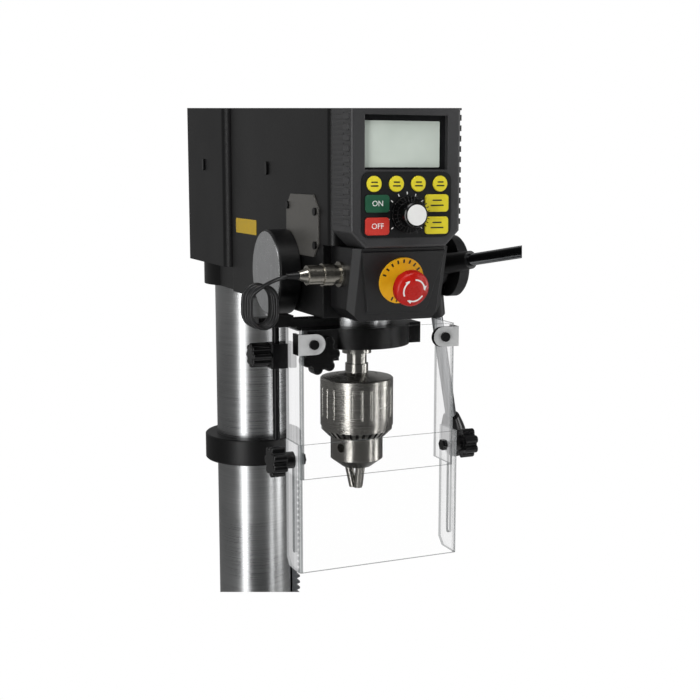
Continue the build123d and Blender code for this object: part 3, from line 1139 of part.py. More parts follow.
with BuildPart() as keypad_plate:
    with BuildSketch(facing(KEYPAD_BACK)):
        with Locations((0, KEYPAD_MIDDLE_Z)):
            RectangleRounded(KEYPAD_WIDTH, KEYPAD_HEIGHT, KEYPAD_CORNER)
    extrude(amount=KEYPAD_THICKNESS)
    with BuildSketch(facing(KEYPAD_BACK)):
        with Locations(*SOFT_KEY_PLACES):
            Circle(SOFT_KEY_RADIUS + KEY_GAP)
        with Locations(*WIDE_KEY_PLACES.values()):
            RectangleRounded(WIDE_KEY_WIDTH + 2 * KEY_GAP, WIDE_KEY_HEIGHT + 2 * KEY_GAP,
                             WIDE_KEY_CORNER + KEY_GAP)
        with Locations((0, DIAL_Z)):
            Circle(ENCODER_RADIUS + RUNNING)
    extrude(amount=KEYPAD_THICKNESS, mode=Mode.SUBTRACT)
keypad_plate.part.label = "keypad_plate"
export_step(keypad_plate.part, "parts/keypad_plate.step")

KEY_BACK = KEYPAD_FRONT - KEY_PROUD + KEY_THICKNESS
for number, place in enumerate(SOFT_KEY_PLACES, start=1):
    with BuildPart() as soft_key:
        with BuildSketch(facing(KEY_BACK)):
            with Locations(place):
                Circle(SOFT_KEY_RADIUS)
        extrude(amount=KEY_THICKNESS)
        fillet(soft_key.faces().sort_by(Axis.Y)[0].edges(), 0.5)
    soft_key.part.label = f"round_key_{number}"
    export_step(soft_key.part, f"parts/round_key_{number}.step")

for name, place in WIDE_KEY_PLACES.items():
    with BuildPart() as wide_key:
        with BuildSketch(facing(KEY_BACK)):
            with Locations(place):
                RectangleRounded(WIDE_KEY_WIDTH, WIDE_KEY_HEIGHT, WIDE_KEY_CORNER)
        extrude(amount=KEY_THICKNESS)
        fillet(wide_key.faces().sort_by(Axis.Y)[0].edges(), 0.5)
    wide_key.part.label = name
    export_step(wide_key.part, f"parts/{name}.step")

with BuildPart() as speed_dial:
    with BuildSketch(facing(PANEL_FACE_BACK + 5.0)):
        with Locations((0, DIAL_Z)):
            Circle(ENCODER_RADIUS)
    extrude(amount=PANEL_FACE_BACK + 5.0 - KEYPAD_FRONT + DIAL_SKIRT)
    with BuildSketch(facing(KEYPAD_FRONT - GAP)):
        with Locations((0, DIAL_Z)):
            Circle(DIAL_SKIRT_RADIUS)
    extrude(amount=DIAL_SKIRT)
    with BuildSketch(facing(KEYPAD_FRONT - GAP - DIAL_SKIRT)):
        with Locations((0, DIAL_Z)):
            Circle(DIAL_RADIUS)
    extrude(amount=DIAL_LENGTH - DIAL_SKIRT)
    chamfer(speed_dial.faces().sort_by(Axis.Y)[0].edges(), 0.8)
speed_dial.part.label = "speed_dial"
export_step(speed_dial.part, "parts/speed_dial.step")

# ================================================================ emergency stop
STOP_SLOPE = (STOP_BOTTOM_FRONT - STOP_TOP_FRONT) / (PANEL_BOTTOM - STOP_BOTTOM)
STOP_FACE_Y = STOP_TOP_FRONT + STOP_SLOPE * (PANEL_BOTTOM - STOP_CENTRE_Z)
STOP_NORMAL = Vector(0, -1, -STOP_SLOPE).normalized()
STOP_UP = Vector(0, -STOP_SLOPE, 1).normalized()
stop_face = Plane(origin=(0, STOP_FACE_Y, STOP_CENTRE_Z), x_dir=(1, 0, 0), z_dir=STOP_NORMAL)
with BuildPart() as stop_housing:
    with BuildSketch(across(-STOP_HALF_WIDTH)):
        with BuildLine():
            Polyline(
                (STOP_BACK, STOP_BOTTOM),
                (STOP_BACK, PANEL_BOTTOM - GAP),
                (STOP_TOP_FRONT + STOP_SLOPE * GAP, PANEL_BOTTOM - GAP),
                (STOP_BOTTOM_FRONT, STOP_BOTTOM),
                close=True,
            )
        make_face()
    extrude(amount=2 * STOP_HALF_WIDTH)
    chamfer(stop_housing.faces().sort_by(Axis.Z)[0].edges().filter_by(Axis.Y), STOP_LOWER_CORNER)
    chamfer(stop_housing.edges().filter_by(lambda edge: abs(edge.tangent_at(0.5).dot(STOP_UP)) > 0.99)
            .group_by(Axis.Y)[0], STOP_CORNER)
    offset(amount=-STOP_WALL, openings=stop_housing.faces().sort_by(Axis.Y)[-1])
    with BuildSketch(stop_face):
        with BuildLine():
            Polyline(
                (-STOP_PLATE_TOP_HALF, STOP_PLATE_TOP_RISE),
                (STOP_PLATE_TOP_HALF, STOP_PLATE_TOP_RISE),
                (STOP_PLATE_BOTTOM_HALF, -STOP_PLATE_BOTTOM_DROP),
                (-STOP_PLATE_BOTTOM_HALF, -STOP_PLATE_BOTTOM_DROP),
                close=True,
            )
        make_face()
    extrude(amount=STOP_PLATE_THICKNESS)
    with BuildSketch(stop_face.offset(STOP_PLATE_THICKNESS)):
        Circle(STOP_RING_RADIUS)
    extrude(amount=STOP_RING_THICKNESS)
    with BuildSketch(stop_face.offset(-STOP_WALL - 1.0)):
        Circle(STOP_STEM_RADIUS + RUNNING)
    extrude(amount=STOP_WALL + 1.0 + STOP_PLATE_THICKNESS + STOP_RING_THICKNESS, mode=Mode.SUBTRACT)
stop_housing.part.label = "stop_housing"
export_step(stop_housing.part, "parts/stop_housing.step")

STOP_CAP_START = STOP_PLATE_THICKNESS + STOP_CAP_BASE
with BuildPart() as stop_stem:
    with BuildSketch(stop_face.offset(-STOP_STEM_DEPTH)):
        Circle(STOP_STEM_RADIUS)
    extrude(amount=STOP_STEM_DEPTH + STOP_CAP_START + STOP_CAP_HEIGHT / 2)
    with BuildSketch(stop_face.offset(-STOP_STEM_DEPTH)):
        Circle(STOP_BLOCK_RADIUS)
    extrude(amount=STOP_STEM_DEPTH - STOP_WALL - 6.0)
stop_stem.part.label = "stop_stem"
export_step(stop_stem.part, "parts/stop_stem.step")

with BuildPart() as stop_cap:
    across_face = STOP_NORMAL.cross(Vector(1, 0, 0)) * -1
    with BuildSketch(Plane(origin=stop_face.origin, x_dir=(1, 0, 0), z_dir=across_face)):
        with BuildLine():
            flat = STOP_CAP_START + STOP_CAP_HEIGHT
            Polyline(
                (0, STOP_CAP_START),
                (STOP_COLLAR_RADIUS, STOP_CAP_START),
                (STOP_COLLAR_RADIUS, STOP_CAP_START + 4.5),
                (STOP_CAP_RADIUS - 1.0, STOP_CAP_START + 7.5),
                (STOP_CAP_RADIUS, STOP_CAP_START + 9.0),
                (STOP_CAP_RADIUS, flat - 4.5),
            )
            Spline((STOP_CAP_RADIUS, flat - 4.5), (STOP_CAP_RADIUS - 3.0, flat - 0.9), (0, flat),
                   tangents=((0, 1), (-1, 0)))
            Line((0, flat), (0, STOP_CAP_START))
        make_face()
    revolve(axis=Axis(stop_face.origin, STOP_NORMAL))
    with BuildSketch(stop_face.offset(STOP_CAP_START)):
        Circle(STOP_STEM_RADIUS + RUNNING)
    extrude(amount=STOP_CAP_HEIGHT / 2 + GAP, mode=Mode.SUBTRACT)
stop_cap.part.label = "stop_cap"
export_step(stop_cap.part, "parts/stop_cap.step")

# ================================================================ plug and cable of the guard switch
with BuildPart() as cable_plug:
    with BuildSketch(Plane(origin=(0, PLUG_Y, PLUG_Z), x_dir=(1, 0, 0), z_dir=(0, -1, 0))):
        with BuildLine():
            Polyline(
                (-STOP_HALF_WIDTH, 0),
                (-STOP_HALF_WIDTH, PLUG_FLANGE_RADIUS),
                (-STOP_HALF_WIDTH - PLUG_FLANGE, PLUG_FLANGE_RADIUS),
                (-STOP_HALF_WIDTH - PLUG_FLANGE, PLUG_THREAD_RADIUS),
                (-PLUG_THREAD_END, PLUG_THREAD_RADIUS),
                (-PLUG_THREAD_END, PLUG_NUT_RADIUS),
                (-PLUG_NUT_END, PLUG_NUT_RADIUS),
                (-PLUG_NUT_END, PLUG_BODY_RADIUS),
                (-PLUG_BODY_END, PLUG_BODY_RADIUS),
                (-PLUG_BODY_END, PLUG_GLAND_RADIUS),
                (-PLUG_GLAND_END, PLUG_GLAND_TIP_RADIUS),
                (-PLUG_GLAND_END, 0),
                close=True,
            )
        make_face()
    revolve(axis=Axis((0, PLUG_Y, PLUG_Z), (1, 0, 0)))
cable_plug.part.label = "cable_plug"
export_step(cable_plug.part, "parts/cable_plug.step")


def bend_radii(points):
    """Largest even bend radius at every inner point, from the shorter of its two runs."""
    radii = []
    for before, here, after in zip(points, points[1:], points[2:]):
        first = Vector(*here) - Vector(*before)
        second = Vector(*after) - Vector(*here)
        turn = radians(first.get_angle(second))
        radii.append(0.45 * min(first.length, second.length) / tan(turn / 2))
    return radii


CABLE_RADII = bend_radii(CABLE_ROUTE)
with BuildPart() as guard_cable:
    with BuildLine() as cable_line:
        FilletPolyline(*CABLE_ROUTE, radius=CABLE_RADII)
    start = Vector(*CABLE_ROUTE[0])
    with BuildSketch(Plane(origin=start, z_dir=Vector(*CABLE_ROUTE[1]) - start)):
        Circle(CABLE_RADIUS)
    sweep(path=cable_line.wires()[0])
guard_cable.part.label = "guard_cable"
export_step(guard_cable.part, "parts/guard_cable.step")
cable_length = cable_line.wires()[0].length
print("cable radii", [round(radius, 1) for radius in CABLE_RADII], "length", round(cable_length, 1),
      "volume / (section x length)",
      round(guard_cable.part.volume / (pi * CABLE_RADIUS ** 2 * cable_length), 4))

with BuildPart() as cable_coil:
    with BuildSketch(facing(COIL_CENTRE[1] + COIL_DEPTH / 2)):
        with Locations((COIL_CENTRE[0], COIL_CENTRE[2])):
            Ellipse(COIL_WIDTH / 2, COIL_HEIGHT / 2)
            Ellipse(COIL_WIDTH / 2 - COIL_THICKNESS, COIL_HEIGHT / 2 - COIL_THICKNESS, mode=Mode.SUBTRACT)
    extrude(amount=COIL_DEPTH)
cable_coil.part.label = "cable_coil"
export_step(cable_coil.part, "parts/cable_coil.step")

# ================================================================ guard collar, post, switch
RING_TOP = HEAD_BOTTOM - RING_TOP_DROP
RING_BOTTOM = RING_TOP - RING_HEIGHT
ARM_TOP = HEAD_BOTTOM - ARM_TOP_DROP
ARM_BOTTOM = ARM_TOP - ARM_THICKNESS
with BuildPart() as guard_collar:
    with BuildSketch(spindle_level(RING_BOTTOM)):
        Circle(RING_RADIUS)
        with Locations((LUG_END / 2, LUG_Y - SPINDLE_Y)):
            Rectangle(LUG_END, LUG_WIDTH)
    extrude(amount=RING_HEIGHT)
    with BuildSketch(Plane(origin=(0, ARM_Y, ARM_BOTTOM))):
        with Locations((-ARM_LEFT / 2, 0)):
            Rectangle(ARM_LEFT, ARM_DEPTH)
    extrude(amount=ARM_THICKNESS)
    with BuildSketch(Plane(origin=(0, ARM_Y, ARM_BOTTOM))):
        with Locations((-ARM_WAIST / 2, 0)):
            Rectangle(ARM_WAIST, ARM_DEPTH)
    extrude(amount=RING_TOP - ARM_BOTTOM - 2.0)
    with BuildSketch(Plane(origin=(-(ARM_TIP_START + ARM_TIP_END) / 2, ARM_Y, ARM_TOP))):
        Rectangle(ARM_TIP_END - ARM_TIP_START, ARM_DEPTH)
    extrude(amount=ARM_TIP_RISE + ARM_TOP_DROP)
    with BuildSketch(Plane(origin=(0, (COLLAR_EAR_FRONT + COLLAR_EAR_BACK) / 2, RING_TOP))):
        with Locations((-(COLLAR_EAR_LEFT + COLLAR_EAR_RIGHT) / 2, 0)):
            Rectangle(COLLAR_EAR_LEFT - COLLAR_EAR_RIGHT, COLLAR_EAR_BACK - COLLAR_EAR_FRONT)
    extrude(amount=-COLLAR_EAR_HEIGHT)
    with BuildSketch(spindle_level(RING_TOP - COLLAR_EAR_HEIGHT)):
        Circle(QUILL_RADIUS)
    extrude(amount=COLLAR_EAR_HEIGHT + RING_TOP_DROP, mode=Mode.SUBTRACT)
    with BuildSketch(Plane(origin=(0, ARM_Y, HEAD_BOTTOM + ARM_TIP_RISE))):
        with Locations((ARM_HOLE_X, 0)):
            Circle(ARM_HOLE_RADIUS)
        with Locations((POST_X, 0)):
            Circle(POST_RADIUS)
    extrude(amount=-RING_TOP_DROP - ARM_TIP_RISE - 3.0, mode=Mode.SUBTRACT)
    with BuildSketch(facing(COLLAR_EAR_BACK)):
        with Locations((COLLAR_KNOB_X, HEAD_BOTTOM - COLLAR_KNOB_DROP)):
            Circle(COLLAR_KNOB_SCREW + RUNNING)
    extrude(amount=COLLAR_EAR_BACK - COLLAR_EAR_FRONT, mode=Mode.SUBTRACT)
guard_collar.part.label = "guard_collar"
export_step(guard_collar.part, "parts/guard_collar.step")

with BuildPart() as guard_post:
    with BuildSketch(Plane(origin=(POST_X, ARM_Y, HEAD_BOTTOM - POST_BOTTOM_DROP))):
        Circle(POST_RADIUS)
    extrude(amount=POST_BOTTOM_DROP - POST_TOP_DROP)
    fillet(guard_post.faces().sort_by(Axis.Z)[0].edges(), 2.0)
guard_post.part.label = "guard_post"
export_step(guard_post.part, "parts/guard_post.step")

SWITCH_MIDDLE_Z = HEAD_BOTTOM - SWITCH_TOP_DROP - SWITCH_HEIGHT / 2
with BuildPart() as interlock_switch:
    with BuildSketch(across(-ARM_LEFT)):
        with Locations((ARM_Y, SWITCH_MIDDLE_Z)):
            RectangleRounded(SWITCH_DEPTH, SWITCH_HEIGHT, 1.0)
    extrude(amount=-SWITCH_LENGTH)
    with BuildSketch(facing(ARM_Y - SWITCH_DEPTH / 2)):
        with Locations((SWITCH_GLAND_X, SWITCH_MIDDLE_Z)):
            Circle(SWITCH_GLAND_RADIUS)
    extrude(amount=ARM_Y - SWITCH_DEPTH / 2 - COIL_CENTRE[1] - COIL_DEPTH / 2 - GAP)
interlock_switch.part.label = "interlock_switch"
export_step(interlock_switch.part, "parts/interlock_switch.step")

with BuildPart() as collar_knob:
    with BuildSketch(facing(COLLAR_KNOB_BACK)):
        with Locations((COLLAR_KNOB_X, HEAD_BOTTOM - COLLAR_KNOB_DROP)):
            star_face(COLLAR_KNOB_RADIUS, COLLAR_KNOB_LOBES)
    extrude(amount=COLLAR_KNOB_BACK - COLLAR_KNOB_FRONT)
    fillet(collar_knob.faces().sort_by(Axis.Y)[0].edges(), 1.0)
    with BuildSketch(facing(COLLAR_EAR_BACK)):
        with Locations((COLLAR_KNOB_X, HEAD_BOTTOM - COLLAR_KNOB_DROP)):
            Circle(COLLAR_KNOB_SCREW)
    extrude(amount=COLLAR_EAR_BACK - COLLAR_KNOB_BACK + 2.0)
collar_knob.part.label = "collar_knob"
export_step(collar_knob.part, "parts/collar_knob.step")

# ================================================================ guards
UPPER_TOP = HEAD_BOTTOM - UPPER_TOP_DROP
LOWER_TOP = HEAD_BOTTOM - LOWER_TOP_DROP
LOWER_HALF_WIDTH = UPPER_HALF_WIDTH + GAP + SHEET
LOWER_FRONT = UPPER_FRONT - GAP - SHEET
STUD_Z = HEAD_BOTTOM - GUARD_STUD_DROP


def sheet_plan(half_width, front, back):
    """Plan of a sheet bent to a U that is open at the back."""
    with Locations((0, (front + back) / 2)):
        Rectangle(2 * half_width, back - front)
    with Locations((0, (front + back + SHEET) / 2)):
        Rectangle(2 * half_width - 2 * SHEET, back - front - SHEET, mode=Mode.SUBTRACT)


with BuildPart() as upper_guard:
    with BuildSketch(Plane(origin=(0, 0, UPPER_TOP - UPPER_HEIGHT))):
        sheet_plan(UPPER_HALF_WIDTH, UPPER_FRONT, UPPER_BACK)
    extrude(amount=UPPER_HEIGHT)
    fillet(upper_guard.edges().filter_by(Axis.Z).group_by(Axis.Y)[1], SHEET_BEND - SHEET)
    fillet(upper_guard.edges().filter_by(Axis.Z).group_by(Axis.Y)[0], SHEET_BEND)
    with BuildSketch(across(-UPPER_HALF_WIDTH)):
        with Locations((SLOT_Y, STUD_Z)):
            Circle(GUARD_STUD_RADIUS + RUNNING)
    extrude(amount=2 * UPPER_HALF_WIDTH, mode=Mode.SUBTRACT)
    with BuildSketch(facing(UPPER_FRONT)):
        with Locations(
            (-TAB_BOLT_X, UPPER_TOP + UPPER_TOP_DROP - TAB_TOP_DROP - TAB_HEIGHT / 2),
            (TAB_BOLT_X, UPPER_TOP + UPPER_TOP_DROP - TAB_TOP_DROP - TAB_HEIGHT / 2),
        ):
            Circle(TAB_BOLT_SHANK)
    extrude(amount=-SHEET, mode=Mode.SUBTRACT)
upper_guard.part.label = "upper_guard"
export_step(upper_guard.part, "parts/upper_guard.step")

with BuildPart() as lower_guard:
    with BuildSketch(Plane(origin=(0, 0, LOWER_TOP - LOWER_HEIGHT))):
        sheet_plan(LOWER_HALF_WIDTH, LOWER_FRONT, LOWER_BACK)
    extrude(amount=LOWER_HEIGHT)
    fillet(lower_guard.edges().filter_by(Axis.Z).group_by(Axis.Y)[1], SHEET_BEND - SHEET)
    fillet(lower_guard.edges().filter_by(Axis.Z).group_by(Axis.Y)[0], SHEET_BEND)
    chamfer(lower_guard.edges().filter_by(Axis.X).group_by(Axis.Z)[0].sort_by(Axis.Y)[-2:], 6.0)
    with BuildSketch(across(-LOWER_HALF_WIDTH)):
        with Locations((SLOT_Y, HEAD_BOTTOM - SLOT_TOP_DROP - SLOT_LENGTH / 2)):
            SlotOverall(SLOT_LENGTH, SLOT_WIDTH, rotation=90)
    extrude(amount=2 * LOWER_HALF_WIDTH, mode=Mode.SUBTRACT)
lower_guard.part.label = "lower_guard"
export_step(lower_guard.part, "parts/lower_guard.step")

for name, sign in (("left_guard_knob", -1), ("right_guard_knob", 1)):
    face = sign * (LOWER_HALF_WIDTH + GAP)
    inside = sign * (UPPER_HALF_WIDTH - SHEET - GAP)
    with BuildPart() as guard_knob:
        with BuildSketch(across(face)):
            with Locations((SLOT_Y, STUD_Z)):
                Circle(STAR_HUB_RADIUS)
        extrude(amount=sign * STAR_HUB_LENGTH)
        with BuildSketch(across(face + sign * STAR_HUB_LENGTH)):
            with Locations((SLOT_Y, STUD_Z)):
                star_face(STAR_RADIUS, STAR_LOBES)
        extrude(amount=sign * STAR_THICKNESS)
        fillet(guard_knob.faces().sort_by(Axis.X)[0 if sign < 0 else -1].edges(), 1.0)
        with BuildSketch(across(face)):
            with Locations((SLOT_Y, STUD_Z)):
                Circle(GUARD_STUD_RADIUS)
        extrude(amount=inside - face)
        with BuildSketch(across(inside)):
            with Locations((SLOT_Y, STUD_Z)):
                RegularPolygon(GUARD_NUT_ACROSS / 2, 6, major_radius=False)
        extrude(amount=-sign * GUARD_NUT_THICKNESS)
    guard_knob.part.label = name
    export_step(guard_knob.part, f"parts/{name}.step")

CLAMP_TOP = HEAD_BOTTOM - CLAMP_TOP_DROP
CLAMP_BOTTOM = CLAMP_TOP - CLAMP_HEIGHT
TAB_TOP = HEAD_BOTTOM - TAB_TOP_DROP
POST_KNOB_Z = HEAD_BOTTOM - POST_KNOB_DROP
with BuildPart() as guard_clamp:
    with BuildSketch(Plane(origin=(-(CLAMP_LEFT + CLAMP_RIGHT) / 2, ARM_Y, CLAMP_BOTTOM))):
        Rectangle(CLAMP_LEFT - CLAMP_RIGHT, ARM_DEPTH)
    extrude(amount=CLAMP_HEIGHT)
    chamfer(guard_clamp.edges().filter_by(Axis.Z), 1.0)
    with BuildSketch(Plane(origin=(0, 0, CLAMP_BOTTOM))):
        with Locations((POST_X, ARM_Y)):
            Circle(POST_RADIUS + RUNNING)
        with Locations((-UPPER_HALF_WIDTH + SHEET / 2, UPPER_BACK - ARM_DEPTH / 2)):
            Rectangle(SHEET, ARM_DEPTH)
    extrude(amount=CLAMP_HEIGHT, mode=Mode.SUBTRACT)
    with BuildSketch(across(-CLAMP_LEFT)):
        with Locations((ARM_Y, POST_KNOB_Z)):
            Circle(POST_KNOB_SCREW + RUNNING)
    extrude(amount=CLAMP_LEFT + POST_X - POST_RADIUS, mode=Mode.SUBTRACT)
    for sign in (-1, 1):
        with BuildSketch(Plane(origin=(0, 0, TAB_TOP - TAB_HEIGHT))):
            with Locations((sign * (UPPER_HALF_WIDTH + TAB_THICKNESS - TAB_WIDTH / 2),
                            UPPER_FRONT - TAB_THICKNESS / 2)):
                Rectangle(TAB_WIDTH, TAB_THICKNESS)
            with Locations((sign * (UPPER_HALF_WIDTH + TAB_THICKNESS / 2),
                            UPPER_FRONT - TAB_THICKNESS + TAB_SIDE / 2)):
                Rectangle(TAB_THICKNESS, TAB_SIDE)
        extrude(amount=TAB_HEIGHT)
        with BuildSketch(facing(UPPER_FRONT)):
            with Locations((sign * (UPPER_HALF_WIDTH + TAB_THICKNESS - TAB_WIDTH), TAB_TOP - TAB_HEIGHT / 2)):
                Circle(TAB_HEIGHT / 2)
        extrude(amount=TAB_THICKNESS)
        with BuildSketch(facing(UPPER_FRONT + SHEET)):
            with Locations((sign * TAB_BOLT_X, TAB_TOP - TAB_HEIGHT / 2)):
                Circle(TAB_BOLT_SHANK)
        extrude(amount=SHEET)
        with BuildSketch(facing(UPPER_FRONT - TAB_THICKNESS)):
            with Locations((sign * TAB_BOLT_X, TAB_TOP - TAB_HEIGHT / 2)):
                Circle(TAB_BOLT_RADIUS)
        extrude(amount=TAB_BOLT_HEAD)
        with BuildSketch(facing(UPPER_FRONT + SHEET)):
            with Locations((sign * TAB_BOLT_X, TAB_TOP - TAB_HEIGHT / 2)):
                Circle(TAB_BOLT_RADIUS)
        extrude(amount=-1.2)
guard_clamp.part.label = "guard_clamp"
export_step(guard_clamp.part, "parts/guard_clamp.step")

with BuildPart() as post_clamp_knob:
    with BuildSketch(across(-CLAMP_LEFT - GAP)):
        with Locations((ARM_Y, POST_KNOB_Z)):
            star_face(POST_KNOB_RADIUS, POST_KNOB_LOBES)
    extrude(amount=-POST_KNOB_THICKNESS)
    fillet(post_clamp_knob.faces().sort_by(Axis.X)[0].edges(), 1.5)
    with BuildSketch(across(-CLAMP_LEFT - GAP)):
        with Locations((ARM_Y, POST_KNOB_Z)):
            Circle(POST_KNOB_SCREW)
    extrude(amount=CLAMP_LEFT + GAP + POST_X - POST_RADIUS - GAP)
post_clamp_knob.part.label = "post_clamp_knob"
export_step(post_clamp_knob.part, "parts/post_clamp_knob.step")

# ================================================================ table, bracket and lift
RACK_PITCH_X = RACK_BACK + RACK_BODY
RACK_COUNT = int((COLLAR_BOTTOM - BASE_TOP - FLANGE_HEIGHT) / (pi * RACK_MODULE))
RACK_MIDDLE = (COLLAR_BOTTOM + BASE_TOP + FLANGE_HEIGHT) / 2
RACK_LENGTH = COLLAR_BOTTOM - BASE_TOP - FLANGE_HEIGHT - 2 * GAP
with BuildPart() as table_rack:
    with BuildSketch(Plane(origin=(RACK_PITCH_X, COLUMN_Y, RACK_MIDDLE), x_dir=(1, 0, 0), z_dir=(0, -1, 0))):
        rack_face(RACK_MODULE, RACK_COUNT, RACK_BODY)
        with Locations((-RACK_BODY + RACK_TONGUE / 2, 0)):
            Rectangle(RACK_TONGUE, RACK_LENGTH + 2 * RACK_TONGUE_LENGTH)
        with Locations(((-RACK_BODY - GEAR_DEDENDUM * RACK_MODULE) / 2, 0)):
            Rectangle(RACK_BODY - GEAR_DEDENDUM * RACK_MODULE, RACK_LENGTH)
    extrude(amount=RACK_WIDTH / 2, both=True)
table_rack.part.label = "table_rack"
export_step(table_rack.part, "parts/table_rack.step")

LIFT_RADIUS = RACK_MODULE * LIFT_TEETH / 2
LIFT_TIP = LIFT_RADIUS + RACK_MODULE
LIFT_X = RACK_PITCH_X + LIFT_RADIUS
RACK_STEP = pi * RACK_MODULE
BRACKET_MIDDLE = RACK_MIDDLE + round((TABLE_TOP - BRACKET_DROP - RACK_MIDDLE) / RACK_STEP) * RACK_STEP
if RACK_COUNT % 2:
    BRACKET_MIDDLE += RACK_STEP / 2
SLEEVE_RADIUS = COLUMN_RADIUS + BRACKET_WALL
GEARBOX_HALF = LIFT_FACE / 2 + GAP + GEARBOX_WALL
GEARBOX_HEIGHT = 2 * (LIFT_TIP + GEARBOX_WALL)
TILT_FACE_Y = SPINDLE_Y + TILT_SETBACK
TILT_Z = TABLE_TOP - TILT_DROP
ARM_FOOT = BRACKET_MIDDLE - ARM_FOOT_DROP
CRANK_Y = COLUMN_Y + SLEEVE_RADIUS + LIFT_BOSS_STAND + CRANK_GAP
with BuildPart() as table_bracket:
    with BuildSketch(column_level(BRACKET_MIDDLE - BRACKET_HEIGHT / 2)):
        Circle(SLEEVE_RADIUS)
    extrude(amount=BRACKET_HEIGHT)
    with BuildSketch(Plane(origin=(0, (TILT_FACE_Y + COLUMN_Y) / 2, ARM_FOOT))):
        Rectangle(ARM_WIDTH, COLUMN_Y - TILT_FACE_Y)
    extrude(amount=TILT_Z + ARM_HEAD_RISE - ARM_FOOT)
    with BuildSketch(facing(TILT_FACE_Y + TILT_DISC_THICKNESS)):
        with Locations((0, TILT_Z)):
            Circle(TILT_DISC_RADIUS)
    extrude(amount=TILT_DISC_THICKNESS)
    with BuildSketch(Plane(origin=(0, COLUMN_Y, BRACKET_MIDDLE), x_dir=(1, 0, 0), z_dir=(0, -1, 0))):
        with Locations(((LIFT_X + LIFT_TIP + GEARBOX_WALL) / 2, 0)):
            Rectangle(LIFT_X + LIFT_TIP + GEARBOX_WALL, GEARBOX_HEIGHT)
    extrude(amount=GEARBOX_HALF, both=True)
    with BuildSketch(Plane(origin=(0, COLUMN_Y, BRACKET_MIDDLE), x_dir=(1, 0, 0), z_dir=(0, 1, 0))):
        with Locations((LIFT_X, 0)):
            Circle(LIFT_SHAFT_RADIUS + GEARBOX_WALL)
    extrude(amount=SLEEVE_RADIUS + LIFT_BOSS_STAND)
    with BuildSketch(column_level(BRACKET_MIDDLE - BRACKET_EAR_HEIGHT / 2)):
        with Locations((-(SLEEVE_RADIUS + BRACKET_EAR) / 2, 0)):
            Rectangle(SLEEVE_RADIUS + BRACKET_EAR, BRACKET_EAR_WIDTH)
    extrude(amount=BRACKET_EAR_HEIGHT)
    # hollow of the arm, open below
    arm_middle = (TILT_FACE_Y + TILT_DISC_THICKNESS + COLUMN_Y - SLEEVE_RADIUS) / 2
    with BuildSketch(Plane(origin=(0, arm_middle, ARM_FOOT))):
        Rectangle(ARM_WIDTH - 2 * ARM_SIDE, COLUMN_Y - SLEEVE_RADIUS - TILT_FACE_Y - TILT_DISC_THICKNESS)
    extrude(amount=TILT_Z + ARM_HEAD_RISE - ARM_SIDE - ARM_FOOT, mode=Mode.SUBTRACT)
    # column bore, rack channel, clamp split
    with BuildSketch(column_level(BRACKET_MIDDLE - BRACKET_HEIGHT / 2)):
        Circle(COLUMN_RADIUS + RUNNING)
        with Locations(((RACK_PITCH_X + RACK_MODULE) / 2, 0)):
            Rectangle(RACK_PITCH_X + RACK_MODULE, RACK_WIDTH + 2 * GAP)
        with Locations((-SLEEVE_RADIUS, 0)):
            Rectangle(2 * SLEEVE_RADIUS, BRACKET_SPLIT)
    extrude(amount=BRACKET_HEIGHT, mode=Mode.SUBTRACT)
    # pinion pocket and shaft bore
    with BuildSketch(Plane(origin=(0, COLUMN_Y, BRACKET_MIDDLE), x_dir=(1, 0, 0), z_dir=(0, -1, 0))):
        with Locations((LIFT_X, 0)):
            Circle(LIFT_TIP + GAP)
    extrude(amount=LIFT_FACE / 2 + GAP, both=True, mode=Mode.SUBTRACT)
    gearbox_front = (0, COLUMN_Y - GEARBOX_HALF, BRACKET_MIDDLE)
    with BuildSketch(Plane(origin=gearbox_front, x_dir=(1, 0, 0), z_dir=(0, 1, 0))):
        with Locations((LIFT_X, 0)):
            Circle(LIFT_SHAFT_RADIUS + RUNNING)
    extrude(amount=GEARBOX_HALF + SLEEVE_RADIUS + LIFT_BOSS_STAND, mode=Mode.SUBTRACT)
    with BuildSketch(Plane(origin=(0, COLUMN_Y, BRACKET_MIDDLE), x_dir=(1, 0, 0), z_dir=(0, -1, 0))):
        with Locations((-SLEEVE_RADIUS - BRACKET_EAR / 2, 0)):
            Circle(CLAMP_SCREW_RADIUS + RUNNING)
    extrude(amount=BRACKET_EAR_WIDTH / 2, both=True, mode=Mode.SUBTRACT)
    with BuildSketch(facing(TILT_FACE_Y + TILT_DISC_THICKNESS)):
        with Locations((0, TILT_Z)):
            Circle(TILT_BOLT_RADIUS)
    extrude(amount=TILT_DISC_THICKNESS, mode=Mode.SUBTRACT)
table_bracket.part.label = "table_bracket"
export_step(table_bracket.part, "parts/table_bracket.step")

TILT_BOLT_END = TILT_FACE_Y - TILT_BOLT_REACH
with BuildPart() as tilt_bolt:
    with BuildSketch(facing(TILT_FACE_Y + TILT_DISC_THICKNESS)):
        with Locations((0, TILT_Z)):
            Circle(TILT_BOLT_RADIUS)
    extrude(amount=TILT_FACE_Y + TILT_DISC_THICKNESS - TILT_BOLT_END)
    with BuildSketch(facing(TILT_FACE_Y + TILT_DISC_THICKNESS)):
        with Locations((0, TILT_Z)):
            RegularPolygon(TILT_HEAD_ACROSS / 2, 6, major_radius=False)
    extrude(amount=-TILT_HEAD_HEIGHT)
tilt_bolt.part.label = "tilt_bolt"
export_step(tilt_bolt.part, "parts/tilt_bolt.step")

